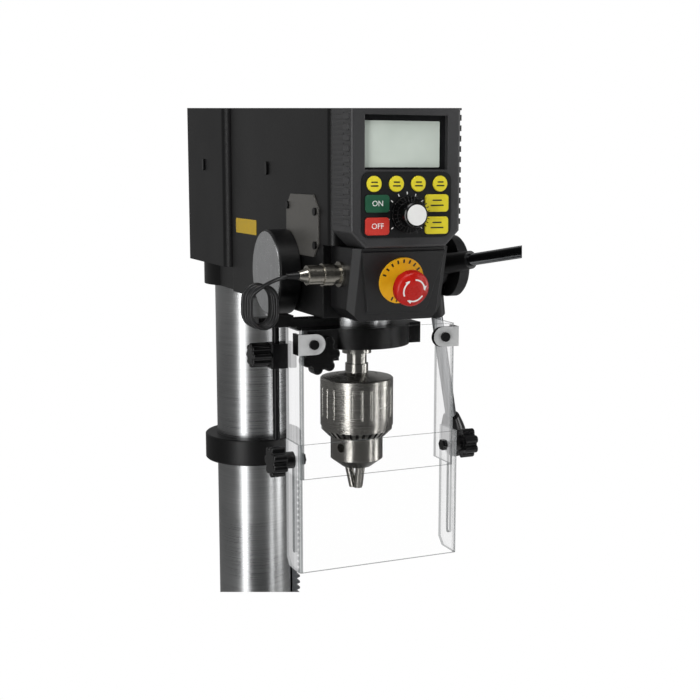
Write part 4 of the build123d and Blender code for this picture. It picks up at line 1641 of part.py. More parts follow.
with BuildPart() as lift_pinion:
    pinion_front = (LIFT_X, COLUMN_Y - LIFT_FACE / 2, BRACKET_MIDDLE)
    with BuildSketch(Plane(origin=pinion_front, x_dir=(-1, 0, 0), z_dir=(0, 1, 0))):
        gear_face(RACK_MODULE, LIFT_TEETH)
    extrude(amount=LIFT_FACE)
    with BuildSketch(Plane(origin=(LIFT_X, COLUMN_Y - GEARBOX_HALF, BRACKET_MIDDLE), z_dir=(0, 1, 0))):
        Circle(LIFT_SHAFT_RADIUS)
    extrude(amount=GEARBOX_HALF + CRANK_Y - COLUMN_Y + CRANK_HUB_LENGTH - SHAFT_END_COVER)
lift_pinion.part.label = "lift_pinion"
export_step(lift_pinion.part, "parts/lift_pinion.step")

with BuildPart() as lift_crank:
    with BuildSketch(Plane(origin=(LIFT_X, CRANK_Y, BRACKET_MIDDLE), x_dir=(1, 0, 0), z_dir=(0, 1, 0))):
        Circle(CRANK_HUB_RADIUS)
    extrude(amount=CRANK_HUB_LENGTH)
    with BuildSketch(Plane(origin=(LIFT_X, CRANK_Y, BRACKET_MIDDLE), x_dir=(1, 0, 0), z_dir=(0, 1, 0))):
        with Locations((0, CRANK_RADIUS / 2)):
            SlotCenterToCenter(CRANK_RADIUS, CRANK_WIDTH, rotation=90)
    extrude(amount=CRANK_THICKNESS)
    with BuildSketch(Plane(origin=(LIFT_X, CRANK_Y, BRACKET_MIDDLE), x_dir=(1, 0, 0), z_dir=(0, 1, 0))):
        with Locations((0, CRANK_RADIUS)):
            Circle(GRIP_PIN_RADIUS)
    extrude(amount=CRANK_THICKNESS + GRIP_LENGTH)
    with BuildSketch(Plane(origin=(LIFT_X, CRANK_Y, BRACKET_MIDDLE), x_dir=(1, 0, 0), z_dir=(0, 1, 0))):
        Circle(LIFT_SHAFT_RADIUS)
    extrude(amount=CRANK_HUB_LENGTH - SHAFT_END_COVER, mode=Mode.SUBTRACT)
lift_crank.part.label = "lift_crank"
export_step(lift_crank.part, "parts/lift_crank.step")

GRIP_START = CRANK_Y + CRANK_THICKNESS + GAP
with BuildPart() as crank_grip:
    with BuildSketch(Plane(origin=(LIFT_X, GRIP_START, BRACKET_MIDDLE - CRANK_RADIUS), z_dir=(0, 1, 0))):
        Circle(GRIP_RADIUS)
    extrude(amount=GRIP_LENGTH)
    fillet(crank_grip.edges().filter_by(GeomType.CIRCLE), 5.0)
    with BuildSketch(Plane(origin=(LIFT_X, GRIP_START, BRACKET_MIDDLE - CRANK_RADIUS), z_dir=(0, 1, 0))):
        Circle(GRIP_PIN_RADIUS + RUNNING)
    extrude(amount=GRIP_LENGTH, mode=Mode.SUBTRACT)
crank_grip.part.label = "crank_grip"
export_step(crank_grip.part, "parts/crank_grip.step")

CLAMP_X = -SLEEVE_RADIUS - BRACKET_EAR / 2
CLAMP_FRONT = COLUMN_Y - BRACKET_EAR_WIDTH / 2 - GAP
with BuildPart() as column_clamp_lever:
    with BuildSketch(Plane(origin=(CLAMP_X, CLAMP_FRONT, BRACKET_MIDDLE), z_dir=(0, -1, 0))):
        Circle(2 * CLAMP_SCREW_RADIUS)
    extrude(amount=2 * CLAMP_HANDLE_OFFSET)
    with BuildSketch(Plane(origin=(CLAMP_X, CLAMP_FRONT, BRACKET_MIDDLE), z_dir=(0, 1, 0))):
        Circle(CLAMP_SCREW_RADIUS)
    extrude(amount=BRACKET_EAR_WIDTH + CLAMP_SCREW_STAND)
    with BuildSketch(Plane(origin=(CLAMP_X, CLAMP_FRONT - CLAMP_HANDLE_OFFSET, BRACKET_MIDDLE))):
        Circle(CLAMP_HANDLE_RADIUS)
    extrude(amount=CLAMP_HANDLE_LENGTH)
    with Locations((CLAMP_X, CLAMP_FRONT - CLAMP_HANDLE_OFFSET, BRACKET_MIDDLE + CLAMP_HANDLE_LENGTH)):
        Sphere(CLAMP_BALL_RADIUS)
column_clamp_lever.part.label = "column_clamp_lever"
export_step(column_clamp_lever.part, "parts/column_clamp_lever.step")

TABLE_UNDER = TABLE_TOP - TABLE_THICKNESS
TABLE_DEPTH = 2 * (COLUMN_Y - COLUMN_RADIUS - TABLE_BACK_GAP - SPINDLE_Y)
with BuildPart() as table:
    with BuildSketch(spindle_level(TABLE_UNDER)):
        RectangleRounded(TABLE_WIDTH, TABLE_DEPTH, TABLE_CORNER)
    extrude(amount=TABLE_THICKNESS)
    chamfer(table.faces().sort_by(Axis.Z)[-1].edges(), TABLE_EDGE)
    with BuildSketch(spindle_level(TABLE_UNDER)):
        RectangleRounded(TABLE_WIDTH, TABLE_DEPTH, TABLE_CORNER)
        RectangleRounded(TABLE_WIDTH - 2 * TABLE_RIM_WALL, TABLE_DEPTH - 2 * TABLE_RIM_WALL,
                         TABLE_CORNER - TABLE_RIM_WALL, mode=Mode.SUBTRACT)
        with GridLocations(TABLE_RIB_SPACING, 0, 2, 1):
            Rectangle(TABLE_RIB, TABLE_DEPTH - TABLE_RIM_WALL)
    extrude(amount=TABLE_THICKNESS - TABLE_RIM_DEPTH)
    tilt_near = TILT_FACE_Y - SLIDE_GAP
    with BuildSketch(facing(tilt_near)):
        with Locations((0, TILT_Z)):
            Circle(TILT_DISC_RADIUS)
    extrude(amount=TILT_DISC_THICKNESS)
    web_middle = tilt_near - TILT_DISC_THICKNESS - HUB_WEB / 2
    with BuildSketch(Plane(origin=(0, web_middle, TILT_Z - TILT_BOLT_RADIUS * 2))):
        Rectangle(2 * HUB_WEB, HUB_WEB)
    extrude(amount=TABLE_UNDER - TILT_Z + TILT_BOLT_RADIUS * 2)
    with BuildSketch(Plane(origin=(0, tilt_near - TILT_DISC_THICKNESS / 2, TILT_Z))):
        Rectangle(2 * TILT_DISC_RADIUS, TILT_DISC_THICKNESS)
    extrude(amount=TABLE_UNDER - TILT_Z)
    with BuildSketch(spindle_level(TABLE_UNDER)):
        Circle(TABLE_HOLE_RADIUS)
        with GridLocations(TABLE_SLOT_SPACING_X, TABLE_SLOT_SPACING_Y, 2, 2):
            SlotOverall(TABLE_SLOT_LENGTH, TABLE_SLOT_WIDTH)
    extrude(amount=TABLE_THICKNESS, mode=Mode.SUBTRACT)
    with BuildSketch(facing(tilt_near)):
        with Locations((0, TILT_Z)):
            Circle(TILT_BOLT_RADIUS + RUNNING)
    extrude(amount=tilt_near - TILT_BOLT_END + GAP, mode=Mode.SUBTRACT)
table.part.label = "table"
export_step(table.part, "parts/table.step")
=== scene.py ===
"""Looks of a floor-standing drill press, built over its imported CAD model.

Metres, +Z up, front towards -Y. Sizes in the classes are millimetres.
"""

import logging
import math
from dataclasses import dataclass
from enum import Enum
from functools import cache

import bmesh
import bpy
from bpy.types import Material, Mesh, Node
from bpy.types import NodeSocket as Socket
from bpy.types import NodeTree as Tree
from bpy.types import Object as Piece
from mathutils import Matrix, Vector

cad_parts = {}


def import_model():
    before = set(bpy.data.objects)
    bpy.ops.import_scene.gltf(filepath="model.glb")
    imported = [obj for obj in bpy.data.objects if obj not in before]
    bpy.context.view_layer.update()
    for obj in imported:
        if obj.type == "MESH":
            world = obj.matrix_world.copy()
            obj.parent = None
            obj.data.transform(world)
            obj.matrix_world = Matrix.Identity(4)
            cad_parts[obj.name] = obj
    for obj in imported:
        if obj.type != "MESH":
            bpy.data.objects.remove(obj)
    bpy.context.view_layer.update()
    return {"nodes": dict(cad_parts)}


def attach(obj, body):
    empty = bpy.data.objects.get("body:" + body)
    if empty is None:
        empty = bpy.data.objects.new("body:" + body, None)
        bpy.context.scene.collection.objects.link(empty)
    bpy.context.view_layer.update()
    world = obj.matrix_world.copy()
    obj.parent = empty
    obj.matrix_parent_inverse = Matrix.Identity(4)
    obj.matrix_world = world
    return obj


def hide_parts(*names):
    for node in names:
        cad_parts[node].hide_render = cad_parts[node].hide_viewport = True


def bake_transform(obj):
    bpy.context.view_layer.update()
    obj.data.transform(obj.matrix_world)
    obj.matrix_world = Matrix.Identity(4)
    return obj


LOG = logging.getLogger("drill_press")
Outline = list[tuple[float, float]]
Triple = tuple[float, float, float]
MM = 0.001
# The two datums that every sub-assembly of the head is placed from.
HEAD_BOTTOM = 1328.0
SPINDLE_Y = -115.0

RIGHT = Vector((1, 0, 0))
LEFT = Vector((-1, 0, 0))
FRONT = Vector((0, -1, 0))
QUARTER = math.pi / 2
# Noise seldom leaves the first span; colours change inside the second.
GRAIN_SPAN = (0.3, 0.7)
TONE_SPAN = (0.38, 0.62)


class Lay(Enum):
    """Direction of a finish's grain, as its stretch along X, Y and Z."""

    EVEN = (1.0, 1.0, 1.0)
    GROUND_RINGS = (60.0, 60.0, 0.7)
    TURNED_RINGS = (30.0, 30.0, 1.0)
    LAMINATED = (20.0, 20.0, 0.5)


def linear(code: str) -> tuple[float, float, float, float]:
    """Turns an sRGB hex value into linear red, green, blue and alpha."""
    parts = [int(code[i : i + 2], 16) / 255 for i in (1, 3, 5)]
    return (*(p / 12.92 if p <= 0.04045 else ((p + 0.055) / 1.055) ** 2.4 for p in parts), 1.0)


def add(tree: Tree, kind: str, inputs: dict[str | int, object] | None = None, **settings: object) -> Node:
    """Adds one node with its settings and inputs.

    Args:
        tree: The tree that gets the node.
        kind: The node's type name.
        inputs: For each input a value, a socket, or a node whose first output feeds it.
        settings: Attributes of the node.

    Returns:
        The new node.
    """
    node = tree.nodes.new(kind)
    for name, value in settings.items():
        setattr(node, name, value)
    for name, value in (inputs or {}).items():
        source = value.outputs[0] if isinstance(value, Node) else value
        if isinstance(source, Socket):
            tree.links.new(source, node.inputs[name])
        else:
            node.inputs[name].default_value = source
    return node


def remapped(
    tree: Tree, value: Socket, span: tuple[float, float], onto: tuple[float, float], **settings: object
) -> Node:
    """Maps one span of values onto another.

    Args:
        tree: The tree that gets the node.
        value: The socket that is mapped.
        span: Where the value starts and ends.
        onto: Where the result starts and ends.
        settings: Attributes of the node.

    Returns:
        The new node.
    """
    limits = {"From Min": span[0], "From Max": span[1], "To Min": onto[0], "To Max": onto[1]}
    return add(tree, "ShaderNodeMapRange", {"Value": value, **limits}, **settings)


def new_material(name: str) -> Material:
    """Makes a material whose node tree is still empty.

    Args:
        name: The material's name.

    Returns:
        The new material.
    """
    material = bpy.data.materials.new(name)
    material.use_nodes = True
    material.node_tree.nodes.clear()
    return material


@dataclass(frozen=True)
class Finish:
    """One surface finish, from its colour down to its grain.

    The grain is drawn in Object coordinates, so its size is real. Grain and
    edge are millimetres, spread is how far the roughness wanders either way.
    """

    name: str
    colour: str
    accent: str
    metallic: float = 0.0
    roughness: float = 0.5
    spread: float = 0.08
    grain: float = 1.0
    depth: float = 0.0
    ior: float = 1.5
    specular: float = 0.5
    lay: Lay = Lay.EVEN
    edge: float = 0.0

    @cache
    def build(self) -> Material:
        """Makes the finish's material, once.

        Returns:
            The material.
        """
        material = new_material(self.name)
        tree = material.node_tree
        fine, tone = self.grain_sockets(tree)
        ramp = add(tree, "ShaderNodeValToRGB", {"Fac": tone})
        dark, light = ramp.color_ramp.elements
        dark.position, light.position = TONE_SPAN
        dark.color, light.color = linear(self.accent), linear(self.colour)
        limits = max(0.02, self.roughness - self.spread), min(1.0, self.roughness + self.spread)
        rough = remapped(tree, tone, GRAIN_SPAN, limits)
        shader = add(
            tree, "ShaderNodeBsdfPrincipled",
            {
                "Metallic": self.metallic, "IOR": self.ior, "Specular IOR Level": self.specular,
                "Base Color": ramp.outputs["Color"], "Roughness": rough,
            },
        )
        normal = self.normal_socket(tree, fine)
        if normal:
            tree.links.new(normal, shader.inputs["Normal"])
        add(tree, "ShaderNodeOutputMaterial", {"Surface": shader})
        return material

    def grain_sockets(self, tree: Tree) -> tuple[Socket, Socket]:
        """Adds the grain.

        Args:
            tree: The material's tree.

        Returns:
            The fine grain alone, and its mean with a broad mottling.
        """
        place = add(tree, "ShaderNodeTexCoord").outputs["Object"]
        scale = tuple(1.0 / (self.grain * MM * share) for share in self.lay.value)
        mapping = add(tree, "ShaderNodeMapping", {"Scale": scale, "Vector": place})
        fine = add(
            tree, "ShaderNodeTexNoise",
            {"Scale": 1.0, "Detail": 3.0, "Roughness": 0.55, "Vector": mapping.outputs["Vector"]},
        )
        broad = add(tree, "ShaderNodeTexNoise", {"Scale": 14.0, "Detail": 2.0, "Vector": place})
        half = add(tree, "ShaderNodeMath", {1: 0.5, 0: fine.outputs["Fac"]}, operation="MULTIPLY")
        mean = add(
            tree, "ShaderNodeMath", {1: 0.5, 0: broad.outputs["Fac"], 2: half}, operation="MULTIPLY_ADD"
        )
        return fine.outputs["Fac"], mean.outputs[0]

    def normal_socket(self, tree: Tree, fine: Socket) -> Socket | None:
        """Adds the softened edges and the grain's relief.

        Args:
            tree: The material's tree.
            fine: The fine grain.

        Returns:
            The bent normal, or None for a finish that has neither.
        """
        normal = None
        if self.edge:
            bevel = add(tree, "ShaderNodeBevel", {"Radius": self.edge * MM}, samples=4)
            normal = bevel.outputs["Normal"]
        if self.depth:
            bump = add(tree, "ShaderNodeBump", {"Strength": 1.0, "Distance": self.depth * MM, "Height": fine})
            if normal:
                tree.links.new(normal, bump.inputs["Normal"])
            normal = bump.outputs["Normal"]
        return normal


# Stove-enamelled casting: a fine orange-peel skin, near black, with a soft sheen.
ENAMEL = Finish(
    "black_enamel_casting", "#0c0c0d", "#090909",
    roughness=0.4, spread=0.05, grain=1.6, depth=0.04, edge=1.4, specular=0.3,
)
# Powder-coated sheet: flatter and a shade greyer than the casting.
POWDER = Finish(
    "black_powder_coat", "#0e0e0f", "#0a0a0b",
    roughness=0.46, spread=0.05, grain=0.9, depth=0.02, edge=1.0, specular=0.3,
)
# Moulded ABS with a spark-eroded texture: even, dark and a little soft.
ABS = Finish(
    "black_abs_moulding", "#1a1a1b", "#141415",
    roughness=0.4, spread=0.06, grain=0.7, depth=0.02, edge=0.9, specular=0.4,
)
# The panel's ABS moulding, a shade greyer than the rest.
PANEL = Finish(
    "grey_abs_panel", "#39393a", "#323233",
    roughness=0.36, spread=0.05, grain=0.7, depth=0.02, edge=0.9, specular=0.5,
)
# Ribbed grips on the panel's sides, whose ribs catch the light.
GRIP = Finish(
    "ribbed_abs_grip", "#313132", "#2a2a2b",
    roughness=0.36, spread=0.06, grain=0.7, depth=0.02, edge=0.4, specular=0.5,
)
# Satin near-black on the spring drum's steel rim as a painted reflection of dark surroundings: dark with one
# soft highlight.
DARK_DRUM_REFLECTION = Finish(
    "painted_reflection_drum", "#151516", "#101011", metallic=0.3, roughness=0.3, spread=0.05, grain=3.0, edge=0.6
)
# Pressed phenolic of the knobs: deep black with a sharp gloss.
PHENOLIC = Finish("black_phenolic", "#070708", "#050506", roughness=0.2, spread=0.05, grain=3.0, edge=0.5)
# Satin film over the keypad: charcoal, without gloss.
FILM = Finish(
    "charcoal_film", "#161718", "#121314", roughness=0.42, spread=0.04, grain=0.6, depth=0.01, specular=0.3
)
# Centreless-ground tube: fine bright rings around the column, coarsened so that they show.
GROUND = Finish(
    "ground_steel_tube", "#b3b4b4", "#9c9d9e",
    metallic=1.0, roughness=0.3, spread=0.06, grain=0.8, lay=Lay.GROUND_RINGS,
)
# Turned and polished steel of the chuck: warm, with long highlights.
CHUCK = Finish(
    "polished_chuck_steel", "#aaa8a3", "#8f8d88",
    metallic=1.0, roughness=0.24, spread=0.06, grain=0.8, lay=Lay.TURNED_RINGS, edge=0.5,
)
# Milled steel left from the cutter: grey, with a faint uneven sheen.
MILLED = Finish(
    "milled_steel", "#8d8f92", "#6d6f71", metallic=1.0, roughness=0.34, spread=0.1, grain=1.5, depth=0.01
)
# Painted shade: near-black steel on the walls of the gaps between the chuck's teeth and on the step above its
# band.
GAP_SHADE_STEEL = Finish(
    "painted_shade_gap_steel", "#1d1c1b", "#151413", metallic=0.6, roughness=0.45, spread=0.08, grain=0.8
)
# Hard chrome on the lever rods: near a mirror.
CHROME = Finish("hard_chrome", "#97999b", "#898b8d", metallic=1.0, roughness=0.12, spread=0.03, grain=4.0)
# Zinc plate on the spring case's cap: pale and slightly cloudy.
ZINC = Finish(
    "zinc_plate", "#d2d3d4", "#c0c1c2", metallic=1.0, roughness=0.24, spread=0.06, grain=6.0, edge=0.8
)
# Nickel-plated brass of the plug: bright with a yellow cast.
NICKEL = Finish(
    "nickel_plate", "#a9a59c", "#918d84", metallic=1.0, roughness=0.2, spread=0.05, grain=2.0, edge=0.3
)
# Black oxide on screws and studs: dark steel with a dull shine.
OXIDE = Finish("black_oxide", "#1b1b1c", "#121213", metallic=0.7, roughness=0.33, grain=2.0, edge=0.3)
# Ground grey iron of the table top: dull grey, a little blotched.
IRON = Finish(
    "ground_grey_iron", "#8a8c8d", "#6e7071", metallic=0.9, roughness=0.38, spread=0.1, grain=2.2, depth=0.01
)
# Varnished stack of motor laminations: brown, in thin layers.
CORE = Finish("varnished_core", "#55443a", "#453730", metallic=0.6, roughness=0.45, lay=Lay.LAMINATED)
# Extruded PVC jacket of the cable: soft black.
JACKET = Finish("pvc_jacket", "#0c0c0d", "#080809", roughness=0.38, spread=0.05)
# Moulded ABS key caps in three colours, half gloss.
YELLOW_KEY = Finish("yellow_key_abs", "#e9da35", "#e2d12b", roughness=0.4, grain=5.0, edge=0.3, specular=0.3)
GREEN_KEY = Finish("green_key_abs", "#22583f", "#1e4f38", roughness=0.4, grain=5.0, edge=0.3, specular=0.3)
RED_KEY = Finish("red_key_abs", "#cc3a30", "#c0342b", roughness=0.4, grain=5.0, edge=0.3, specular=0.3)
# Moulded ABS of the stop's red cap, glossier than the keys, and of its yellow disc.
STOP_RED = Finish(
    "red_stop_abs", "#c31c14", "#b51710", roughness=0.28, spread=0.04, grain=8.0, edge=0.4, specular=0.35
)
STOP_YELLOW = Finish("yellow_stop_plate", "#f2b81c", "#eaa911", roughness=0.4, grain=6.0, specular=0.3)
# Screen-printed inks: flat and matt.
WHITE_INK = Finish("white_ink", "#f2f2f0", "#ecece9", roughness=0.45, grain=2.0)
DARK_INK = Finish("dark_ink", "#1d1a10", "#17150d", roughness=0.45, grain=2.0)
# Polished white plastic of the dial's cap.
CAP_WHITE = Finish("white_dial_cap", "#f4f4f2", "#ececea", roughness=0.25, grain=6.0)
# Printed vinyl of the empty label.
STICKER = Finish("yellow_vinyl", "#d9b41f", "#cda918", roughness=0.4, grain=4.0)
# Liquid-crystal screen, grey with a warm cast.
SCREEN = Finish("lcd_screen", "#cfd8cf", "#c3cdc4", roughness=0.2, spread=0.02, grain=30.0, specular=0.3)
# Glossy dark mask around the screen.
MASK = Finish("screen_mask", "#1a1b1c", "#151617", roughness=0.18, grain=5.0)
# Blank plate on the head's side: brushed nickel under lacquer, silvery and dull.
BLANK = Finish(
    "satin_nickel_plate", "#7f7d79", "#716f6b", metallic=0.6, roughness=0.42, grain=1.2, depth=0.01, edge=0.4
)
# Frosted plastic on the guard's corner lugs: milky white.
LUG = Finish("frosted_lug", "#c4c5c5", "#b9baba", roughness=0.3, grain=4.0, edge=0.4)


@dataclass(frozen=True)
class ClearSheet:
    """Cast polycarbonate sheet: clear through its faces, grey along its sawn edges.

    A face seen at a slant gets a painted reflection: a pale glow in upright streaks that grows with the
    slant.
    """

    name: str = "clear_polycarbonate"
    tint: str = "#ffffff"
    gloss_share: float = 0.2
    painted_glare_colour: str = "#fafafb"
    painted_glare_strength: float = 0.97
    painted_glare_share: float = 0.4
    slant_span: tuple[float, float] = (0.35, 0.75)
    streak_span: tuple[float, float] = (0.65, 1.15)
    streaks: Triple = (260.0, 260.0, 6.0)
    edge_dark: str = "#3f4445"
    edge_light: str = "#8d9293"
    edge_clear_share: float = 0.3

    @cache
    def face(self) -> Material:
        """Makes the material of the broad faces, once.

        Returns:
            A see-through material with a faint surface reflection and a painted reflection that glows at a
            slant.
        """
        material = new_material(self.name)
        tree = material.node_tree
        clear = add(tree, "ShaderNodeBsdfTransparent", {"Color": linear(self.tint)})
        gloss = add(tree, "ShaderNodeBsdfGlossy", {"Color": linear("#ffffff"), "Roughness": 0.03})
        grip = add(tree, "ShaderNodeFresnel", {"IOR": 1.3})
        part = add(tree, "ShaderNodeMath", {1: self.gloss_share, 0: grip}, operation="MULTIPLY")
        surface = add(tree, "ShaderNodeMixShader", {0: part, 1: clear, 2: gloss})
        # Painted reflection: a pale glow, mixed in at a slant, stands in for the white surroundings mirrored
        # in the sheet.
        glare = add(
            tree, "ShaderNodeEmission", {"Color": linear(self.painted_glare_colour), "Strength": self.painted_glare_strength}
        )
        glared = add(tree, "ShaderNodeMixShader", {0: self.painted_glare(tree), 1: surface, 2: glare})
        add(tree, "ShaderNodeOutputMaterial", {"Surface": glared})
        return material

    def painted_glare(self, tree: Tree) -> Socket:
        """Adds the painted reflection's share, which grows with the slant and has upright streaks.

        Args:
            tree: The material's tree.

        Returns:
            The share of the painted reflection.
        """
        slant = add(tree, "ShaderNodeLayerWeight", {"Blend": 0.5})
        place = add(tree, "ShaderNodeTexCoord")
        stretch = add(tree, "ShaderNodeMapping", {"Scale": self.streaks, "Vector": place.outputs["Object"]})
        streak = add(tree, "ShaderNodeTexNoise", {"Scale": 1.0, "Detail": 1.0, "Vector": stretch})
        facing = slant.outputs["Facing"]
        onto = (0.0, self.painted_glare_share)
        grown = remapped(tree, facing, self.slant_span, onto, interpolation_type="SMOOTHSTEP")
        uneven = remapped(tree, streak.outputs["Fac"], GRAIN_SPAN, self.streak_span)
        share = add(tree, "ShaderNodeMath", {0: grown, 1: uneven}, operation="MULTIPLY")
        return share.outputs[0]

    @cache
    def edge(self) -> Material:
        """Makes the material of the sawn edges, once.

        Returns:
            A grey material that lets a little light through.
        """
        material = new_material(self.name + "_edge")
        tree = material.node_tree
        place = add(tree, "ShaderNodeTexCoord")
        noise = add(tree, "ShaderNodeTexNoise", {"Scale": 60.0, "Vector": place.outputs["Object"]})
        ramp = add(tree, "ShaderNodeValToRGB", {"Fac": noise.outputs["Fac"]})
        ramp.color_ramp.elements[0].color = linear(self.edge_dark)
        ramp.color_ramp.elements[1].color = linear(self.edge_light)
        body = add(tree, "ShaderNodeBsdfPrincipled", {"Roughness": 0.25, "IOR": 1.58, "Base Color": ramp})
        clear = add(tree, "ShaderNodeBsdfTransparent")
        mix = add(tree, "ShaderNodeMixShader", {0: self.edge_clear_share, 1: body, 2: clear})
        add(tree, "ShaderNodeOutputMaterial", {"Surface": mix})
        return material


def mesh_object(name: str, mesh: Mesh, material: Material) -> Piece:
    """Links a mesh at the origin with one material.

    Args:
        name: The piece's name.
        mesh: Its mesh, already in place.
        material: Its only material.

    Returns:
        The new object.
    """
    piece = bpy.data.objects.new(name, mesh)
    bpy.context.scene.collection.objects.link(piece)
    mesh.materials.clear()
    mesh.materials.append(material)
    return piece


def moulded(name: str, shape: bmesh.types.BMesh, material: Material) -> Piece:
    """Turns a finished BMesh into a piece and frees it.

    Args:
        name: The piece's name.
        shape: The faces, already in place.
        material: The piece's only material.

    Returns:
        The new object.
    """
    mesh = bpy.data.meshes.new(name)
    shape.to_mesh(mesh)
    shape.free()
    return mesh_object(name, mesh, material)


def evaluated_mesh(piece: Piece) -> Mesh:
    """Takes the plain mesh that a linked object's modifiers or curve give."""
    graph = bpy.context.evaluated_depsgraph_get()
    return bpy.data.meshes.new_from_object(piece.evaluated_get(graph))


def prism(
    name: str, outline: Outline, place: Matrix, height: float, finish: Finish, bevel: float = 0.0
) -> Piece:
    """Raises a flat outline into a solid with softened top edges.

    Args:
        name: The piece's name.
        outline: Corners in millimetres, counter-clockwise in the place's own x and y.
        place: Where the outline's plane lies, in metres.
        height: Rise along the place's z, in millimetres.
        finish: The piece's finish.
        bevel: Width of the softened edge, in millimetres.

    Returns:
        The piece, with its place in its mesh.
    """
    shape = bmesh.new()
    low = [shape.verts.new((x * MM, y * MM, 0.0)) for x, y in outline]
    high = [shape.verts.new((x * MM, y * MM, height * MM)) for x, y in outline]
    shape.faces.new(list(reversed(low)))
    top = shape.faces.new(high)
    for i, corner in enumerate(low):
        j = (i + 1) % len(low)
        shape.faces.new((corner, low[j], high[j], high[i]))
    if bevel:
        edges = list(top.edges)
        bmesh.ops.bevel(shape, geom=edges, offset=bevel * MM, segments=2, affect="EDGES", profile=0.6)
    bmesh.ops.transform(shape, matrix=place, verts=shape.verts)
    return moulded(name, shape, finish.build())


def plane_at(origin: Vector, right: Vector, normal: Vector) -> Matrix:
    """Finds the matrix of a plane.

    Args:
        origin: Its origin in millimetres.
        right: Roughly where its x points.
        normal: Where its z points.

    Returns:
        The matrix, in metres.
    """
    z = normal.normalized()
    x = (right - z * right.dot(z)).normalized()
    turn = Matrix((x, z.cross(x), z)).transposed().to_4x4()
    return Matrix.Translation(origin * MM) @ turn


def facing_front(x: float, y: float, z: float) -> Matrix:
    """Plane that faces the front at a point in millimetres."""
    return plane_at(Vector((x, y, z)), RIGHT, FRONT)


def rounded(width: float, height: float, radius: float, steps: int = 5) -> Outline:
    """Draws a rectangle with round corners, centred on zero.

    Args:
        width: Its full width.
        height: Its full height.
        radius: The corners' radius.
        steps: Points on each corner, less one.

    Returns:
        Its corners, counter-clockwise.
    """
    points = []
    for quarter, (sx, sy) in enumerate(((1, 1), (-1, 1), (-1, -1), (1, -1))):
        cx, cy = sx * (width / 2 - radius), sy * (height / 2 - radius)
        for step in range(steps + 1):
            a = QUARTER * (quarter + step / steps)
            points.append((cx + radius * math.cos(a), cy + radius * math.sin(a)))
    return points


def circle(radius: float, count: int) -> Outline:
    """Outline of a circle, counter-clockwise from its right."""
    angles = [2 * math.pi * i / count for i in range(count)]
    return [(radius * math.cos(a), radius * math.sin(a)) for a in angles]


def band(inner: float, outer: float, start: float, end: float, steps: int) -> Outline:
    """Draws an arc-shaped band.

    Args:
        inner: Its smaller radius.
        outer: Its larger radius.
        start: Where it starts, in degrees.
        end: Where it ends, in degrees.
        steps: Pieces that each arc is drawn in.

    Returns:
        Its corners, counter-clockwise.
    """
    angles = [math.radians(start + (end - start) * i / steps) for i in range(steps + 1)]
    out = [(outer * math.cos(a), outer * math.sin(a)) for a in angles]
    back = [(inner * math.cos(a), inner * math.sin(a)) for a in reversed(angles)]
    return out + back


def joined(name: str, pieces: list[Piece]) -> Piece:
    """Joins meshes of one finish into one piece.

    Args:
        name: The new piece's name.
        pieces: What is joined; they are removed.

    Returns:
        The new piece.
    """
    shape = bmesh.new()
    material = pieces[0].data.materials[0]
    for piece in pieces:
        shape.from_mesh(piece.data)
        bpy.data.objects.remove(piece)
    return moulded(name, shape, material)


def lettering(name: str, words: str, size: float, place: Matrix, finish: Finish) -> Piece:
    """Prints flat letters as a thin mesh.

    Args:
        name: The piece's name.
        words: What is printed.
        size: Height of the letters' body, in millimetres.
        place: The plane that they lie on, centred.
        finish: The ink.

    Returns:
        The letters as one mesh.
    """
    half_ink = 0.06 * MM
    curve = bpy.data.curves.new(name, "FONT")
    curve.body = words
    curve.size = size * MM
    curve.align_x = "CENTER"
    curve.align_y = "CENTER"
    curve.extrude = half_ink
    curve.resolution_u = 3
    holder = bpy.data.objects.new(name + "_curve", curve)
    bpy.context.scene.collection.objects.link(holder)
    mesh = evaluated_mesh(holder)
    bpy.data.objects.remove(holder)
    mesh.transform(place @ Matrix.Translation((0, 0, half_ink)))
    return mesh_object(name, mesh, finish.build())


def repeat_tree(name: str, material: Material) -> Tree:
    """Builds the tree that sets a unit on points, turned as each point says.

    Args:
        name: The tree's name.
        material: What every copy wears.

    Returns:
        A tree with the inputs Points and Unit.
    """
    tree = bpy.data.node_groups.new(name, "GeometryNodeTree")
    tree.interface.new_socket("Points", in_out="INPUT", socket_type="NodeSocketGeometry")
    tree.interface.new_socket("Unit", in_out="INPUT", socket_type="NodeSocketObject")
    tree.interface.new_socket("Geometry", in_out="OUTPUT", socket_type="NodeSocketGeometry")
    start = add(tree, "NodeGroupInput")
    unit = add(tree, "GeometryNodeObjectInfo", {0: start.outputs["Unit"]})
    turn = add(tree, "GeometryNodeInputNamedAttribute", {"Name": "turn"}, data_type="FLOAT_VECTOR")
    sockets = {"Points": start.outputs["Points"], "Instance": unit.outputs["Geometry"], "Rotation": turn}
    copies = add(tree, "GeometryNodeInstanceOnPoints", sockets)
    real = add(tree, "GeometryNodeRealizeInstances", {0: copies})
    dressed = add(tree, "GeometryNodeSetMaterial", {"Material": material, 0: real})
    add(tree, "NodeGroupOutput", {0: dressed})
    return tree


